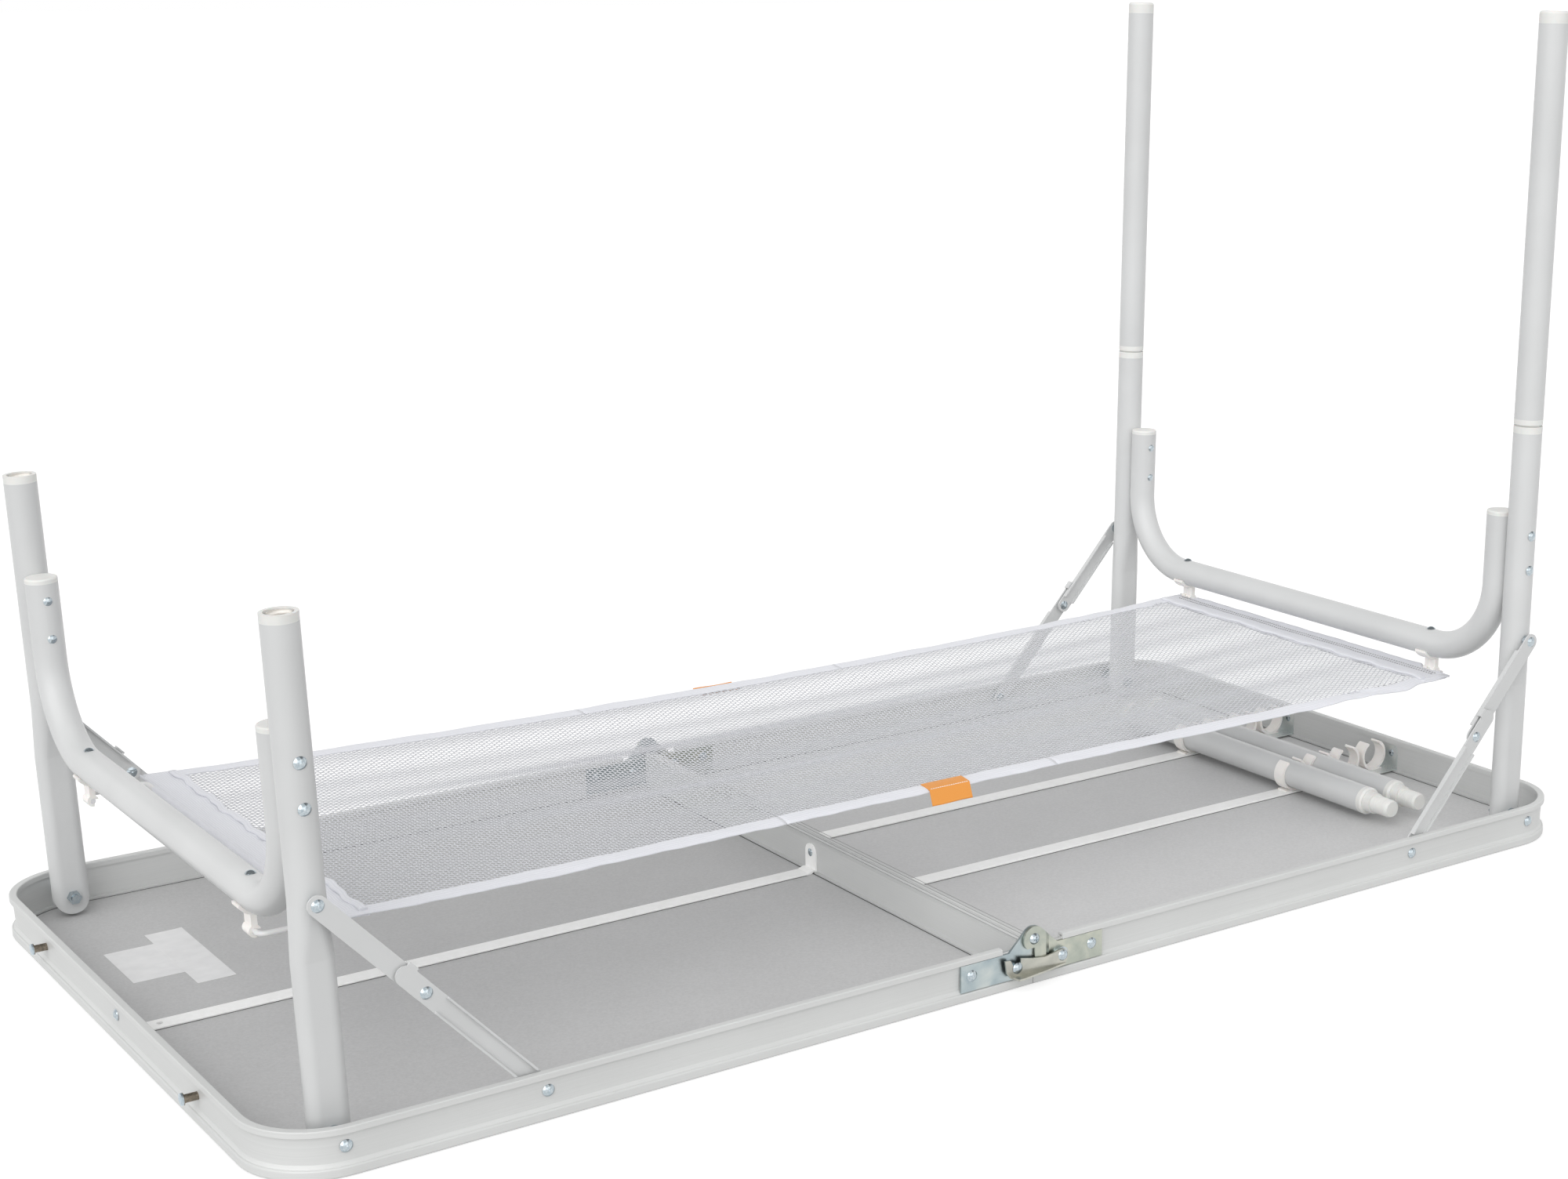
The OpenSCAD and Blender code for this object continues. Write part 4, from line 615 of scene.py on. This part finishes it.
# Orange tabs sewn over the hems
tab = {
    "near": {"side": -1, "middle": 23.0, "skew": -4.0, "outer": 14.0, "fall": 0.95, "lift": 1.9},
    "far": {"side": 1, "middle": 5.0, "skew": 0.0, "outer": 5.0, "fall": -0.35, "lift": -1.6},
    "inner": 12.0, "width": 39.0, "thick": 0.8,
    "wave": 0.25, "waveLong": 6.0,
    "rows": 25, "steps": 21,
    "threadFrom": 0.46, "threadPitch": 0.055,   # shares of the width
    "threadLong": 1.7, "threadIn": 0.6,
}


def thinSheet(name, top, thick, finish, uv):
    # A grid of points and the same grid a sheet's thickness lower, joined by a wall round their rim
    n, m = top.shape[:2]
    index = np.arange(n * m).reshape(n, m)
    quads = np.stack([index[:-1, :-1], index[1:, :-1], index[1:, 1:], index[:-1, 1:]], -1).reshape(-1, 4)
    rim = np.concatenate([index[:-1, 0], index[-1, :-1], index[:0:-1, -1], index[0, :0:-1]])
    after = np.roll(rim, -1)
    wall = np.stack([rim, rim + n * m, after + n * m, after], -1)
    under = top - np.array([0, 0, thick])
    points = np.concatenate([top.reshape(-1, 3), under.reshape(-1, 3)])
    faces = np.concatenate([quads, (quads + n * m)[:, ::-1], wall])
    return meshFrom(name, points, faces, finish, np.concatenate([uv.reshape(-1, 2)] * 2), smooth=False)


def tabPart(name, side, middle, skew, outer, fall, lift):
    # A tape: its inner part follows the hem, and past the edge it goes outwards and falls by a fixed slope
    x = np.linspace(-0.5, 0.5, tab["rows"]) * tab["width"] * -side
    xs, ss = np.meshgrid(x, np.linspace(-tab["inner"], outer, tab["steps"]), indexing="ij")
    over = np.clip(ss, 0, None)
    xs = xs + middle + skew * over / outer
    v = np.clip(-ss, 0.3, None) / netWidth(xs)
    top = offNet(xs, v if side < 0 else 1 - v, np.full_like(xs, lift))
    run = 1 / math.hypot(1, fall)
    top[..., 1] += side * over * run
    top[..., 2] -= over * run * fall + tab["wave"] * np.sin(xs / tab["waveLong"]) * over / outer
    return thinSheet(name, top, tab["thick"], "tab", np.stack([xs, ss], -1))


def tabStitches(name, shape):
    # a row of thread across the tab where it leaves the hem
    x = shape["middle"] + np.arange(-tab["threadFrom"], tab["threadFrom"], tab["threadPitch"]) * tab["width"]
    v = np.full_like(x, tab["threadIn"]) / netWidth(x)
    v = v if shape["side"] < 0 else 1 - v
    lifts = np.full_like(x, shape["lift"])
    ups = np.tile([0.0, 0, 1], (len(x), 1))
    return stitches(name, offNet(x, v, lifts), offNet(x + tab["threadLong"], v, lifts), ups)


for word in ("near", "far"):
    made["centre"].append(tabPart("net_tab_" + word, **tab[word]))
made["centre"].append(tabStitches("net_tab_thread", tab["near"]))

# The thin plain stickers on the board; one corner of each lifts a little
stickers = {
    "wide": {"x": (-555.5, -512.0), "y": (95.0, 168.0), "z": 3.56},
    "long": {"x": (-516.0, -486.0), "y": (66.0, 190.5), "z": 3.68},
}
boardTop = 3.5
corner = {"rise": 0.25, "overX": 6.0, "overY": 9.0}
for word, place in stickers.items():
    gx, gy = np.meshgrid(np.linspace(*place["x"], 9), np.linspace(*place["y"], 17), indexing="ij")
    lifted = np.clip((gx - place["x"][1]) / corner["overX"] + 1, 0, 1)
    lifted = lifted * np.clip((gy - place["y"][1]) / corner["overY"] + 1, 0, 1)
    grid = np.stack([gx, gy, place["z"] + corner["rise"] * lifted], -1)
    label = thinSheet("sticker_" + word, grid, place["z"] - boardTop, "sticker", grid[..., :2])
    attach(label, "left_half")
print("table: tabs and stickers made")


def ribbon(name, path, inward, finish, half):
    # a flat ribbon between a path and the same path moved inwards, on its half of the table
    points = np.stack([path, path + inward], axis=1)
    index = np.arange(2 * len(path)).reshape(-1, 2)
    faces = np.stack([index[:-1, 0], index[1:, 0], index[1:, 1], index[:-1, 1]], -1)
    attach(meshFrom(name, points.reshape(-1, 3), faces, finish, smooth=False), half + "_half")


# Painted shadow: a dark ribbon round each half's board at the foot of its rails and centre bar, and under each
# strip's near side, where contact shade falls
contactShadow = {
    "wide": 1.2, "height": 3.57,
    "foot": 8.35, "endX": 590.9, "sideY": 297.9,
    "corner": 49.0, "steps": 33,
    "stripNear": {1: (-82.3, 66.3), -1: (-4.3,)}, "stripX": (16.0, 589.0),
}
angle = np.linspace(-np.pi / 2, np.pi / 2, contactShadow["steps"])
for sign, half in ((1, "right"), (-1, "left")):
    foot, sideY, wide, bend = contactShadow["foot"], contactShadow["sideY"], contactShadow["wide"], contactShadow["corner"]
    ringX = np.concatenate([[foot], contactShadow["endX"] - bend + bend * np.cos(angle), [foot, foot]])
    ringY = np.concatenate([[-sideY], np.sign(angle) * (sideY - bend) + bend * np.sin(angle), [sideY, -sideY]])
    path = np.stack([sign * ringX, ringY, np.full_like(ringX, contactShadow["height"])], -1)
    inX = sign * wide * np.concatenate([[1], -np.cos(angle), [1, 1]])
    inY = wide * np.concatenate([[1], -np.sin(angle), [-1, 1]])
    ribbon("board_shadow_" + half, path, np.stack([inX, inY, 0 * inX], -1), "gap", half)
    for k, y in enumerate(contactShadow["stripNear"][sign]):
        line = np.array([[sign * x, y, contactShadow["height"]] for x in contactShadow["stripX"]])
        ribbon(f"strip_shadow_{half}_{k}", line, np.array([0, -wide, 0]), "gap", half)

# Two grey lines along the top of each centre bar: painted shade of its two rolled grooves, laid as flat ribbons
recessShade = {"x": (2.4, 6.3), "wide": 0.8, "reach": 300.5, "height": 34.55}
for sign, half in ((1, "right"), (-1, "left")):
    for k, x in enumerate(recessShade["x"]):
        line = np.array([[sign * x, y, recessShade["height"]] for y in (-recessShade["reach"], recessShade["reach"])])
        ribbon(f"bar_top_shade_{half}_{k}", line, np.array([sign * recessShade["wide"], 0, 0]), "recessShade", half)

# Moulded thread inside the two open sockets: a sleeve whose radius rises and falls along a helix. It wears the
# pale sewing-thread white, paler than the sockets' plastic: painted light in the sockets' shaded bores.
socket = {
    "pivotX": 547.2, "pivotZ": 20.7, "y": 275.0, "rake": math.radians(1.5),
    "from": 326.0, "to": 349.4, "rings": 60, "sides": 48,
    "radius": 7.9, "ridge": 0.32, "pitch": 3.2,
}
t, a = np.meshgrid(np.linspace(socket["from"], socket["to"], socket["rings"]),
                   np.linspace(0, 2 * np.pi, socket["sides"], endpoint=False), indexing="ij")
r = socket["radius"] + socket["ridge"] * np.cos(2 * np.pi * t / socket["pitch"] + a)
sinR, cosR = math.sin(socket["rake"]), math.cos(socket["rake"])
for sign, word in ((-1, "near"), (1, "far")):
    rings = np.stack([-(socket["pivotX"] + t * sinR) + r * np.cos(a) * cosR,
                      sign * socket["y"] + r * np.sin(a),
                      socket["pivotZ"] + t * cosR + r * np.cos(a) * sinR], -1)
    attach(loft("socket_thread_" + word, rings[:, ::-1], "thread", capped=False), "left_legs")
print("table: joints and threads made")

# Bodies: the end parts' pieces ride on their parts' bodies, the centre's keep their place in the world, and the
# frame's own net nodes are hidden. Each part's mean width is worked out but not used.
for key, pieces in made.items():
    part = parts[key]
    for piece in pieces:
        if key == "centre":
            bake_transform(piece)
        else:
            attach(piece, f"net_{key}_part")
    wide = float(np.mean(netWidth(np.linspace(part["from"], part["to"], 9)))) * mm
    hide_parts(part["node"])
print("table: net pieces ride on their bodies")

# Lights, backdrop and floor
light = {
    "world": 0.76,         # ambient light of the room
    "key": 1.42, "keySoft": 70.0, "keyPlace": (-3.4, -1.6, 1.9),    # a very wide softbox, upper left
    "fill": 0.85, "fillSoft": 80.0, "fillPlace": (-0.7, -3.0, 1.7),
    "backdropTop": 0.42, "ceilingFrom": 0.62, "ceiling": 0.3,   # heights on the unit sphere; strength up there
    "lift": 0.62,          # how much paler the camera sees the floor
    "paper": "B4B4B4",
}
floor = {"reach": 40.0, "drop": 0.0004}   # in metres


def seenDirectly(tree):
    # 1 for the rays of the camera, of reflections and of what is seen through, 0 for those that light
    seen = add(tree, "ShaderNodeLightPath")
    either = add(tree, "ShaderNodeMath", {0: (seen, "Is Camera Ray"), 1: (seen, "Is Glossy Ray")},
                 operation="MAXIMUM")
    return add(tree, "ShaderNodeMath", {0: (either, 0), 1: (seen, "Is Transmission Ray")}, operation="MAXIMUM")


world = bpy.data.worlds.new("studio")
scene.world = world
world.use_nodes = True
tree = world.node_tree
tree.nodes.clear()
room = add(tree, "ShaderNodeBackground", Color=linear("FFFFFF"), Strength=light["world"])
toSky = add(tree, "ShaderNodeTexCoord")
height = add(tree, "ShaderNodeSeparateXYZ", {0: (toSky, "Generated")})
# above the white backdrop the reflections find the darker ceiling of the studio
ceiling = add(tree, "ShaderNodeMapRange", {0: (height, "Z")}, From_Min=light["backdropTop"],
              From_Max=light["ceilingFrom"], To_Min=1.0, To_Max=light["ceiling"])
white = add(tree, "ShaderNodeBackground", {"Strength": (ceiling, 0)}, Color=(1, 1, 1, 1))
pick = add(tree, "ShaderNodeMixShader", {0: (seenDirectly(tree), 0), 1: (room, 0), 2: (white, 0)})
add(tree, "ShaderNodeOutputWorld", {0: (pick, 0)})

floorData = bpy.data.meshes.new("floor")
corners = [(floor["reach"] * x, floor["reach"] * y, 0) for x, y in ((-1, -1), (1, -1), (1, 1), (-1, 1))]
floorData.from_pydata(corners, [], [(0, 1, 2, 3)])
floorPlane = bpy.data.objects.new("floor", floorData)
floorPlane.location.z = -floor["drop"]
scene.collection.objects.link(floorPlane)
paper = bpy.data.materials.new("whitePaper")
paper.use_nodes = True
tree = paper.node_tree
tree.nodes.clear()
sheetWhite = add(tree, "ShaderNodeBsdfDiffuse", Color=linear(light["paper"]))
strength = add(tree, "ShaderNodeMath", {0: (seenDirectly(tree), 0)}, operation="MULTIPLY")
strength.inputs[1].default_value = light["lift"]
glow = add(tree, "ShaderNodeEmission", {"Strength": (strength, 0)}, Color=(1, 1, 1, 1))
summed = add(tree, "ShaderNodeAddShader", {0: (sheetWhite, 0), 1: (glow, 0)})
add(tree, "ShaderNodeOutputMaterial", {0: (summed, 0)})
floorData.materials.append(paper)

for name in ("key", "fill"):
    lamp = bpy.data.lights.new(name, "SUN")
    lamp.energy, lamp.angle = light[name], math.radians(light[name + "Soft"])
    holder = bpy.data.objects.new(name, lamp)
    x, y, z = light[name + "Place"]
    holder.rotation_euler = (math.atan2(math.hypot(x, y), z), 0, math.atan2(x, -y))
    scene.collection.objects.link(holder)
print("table: stage and lights set")
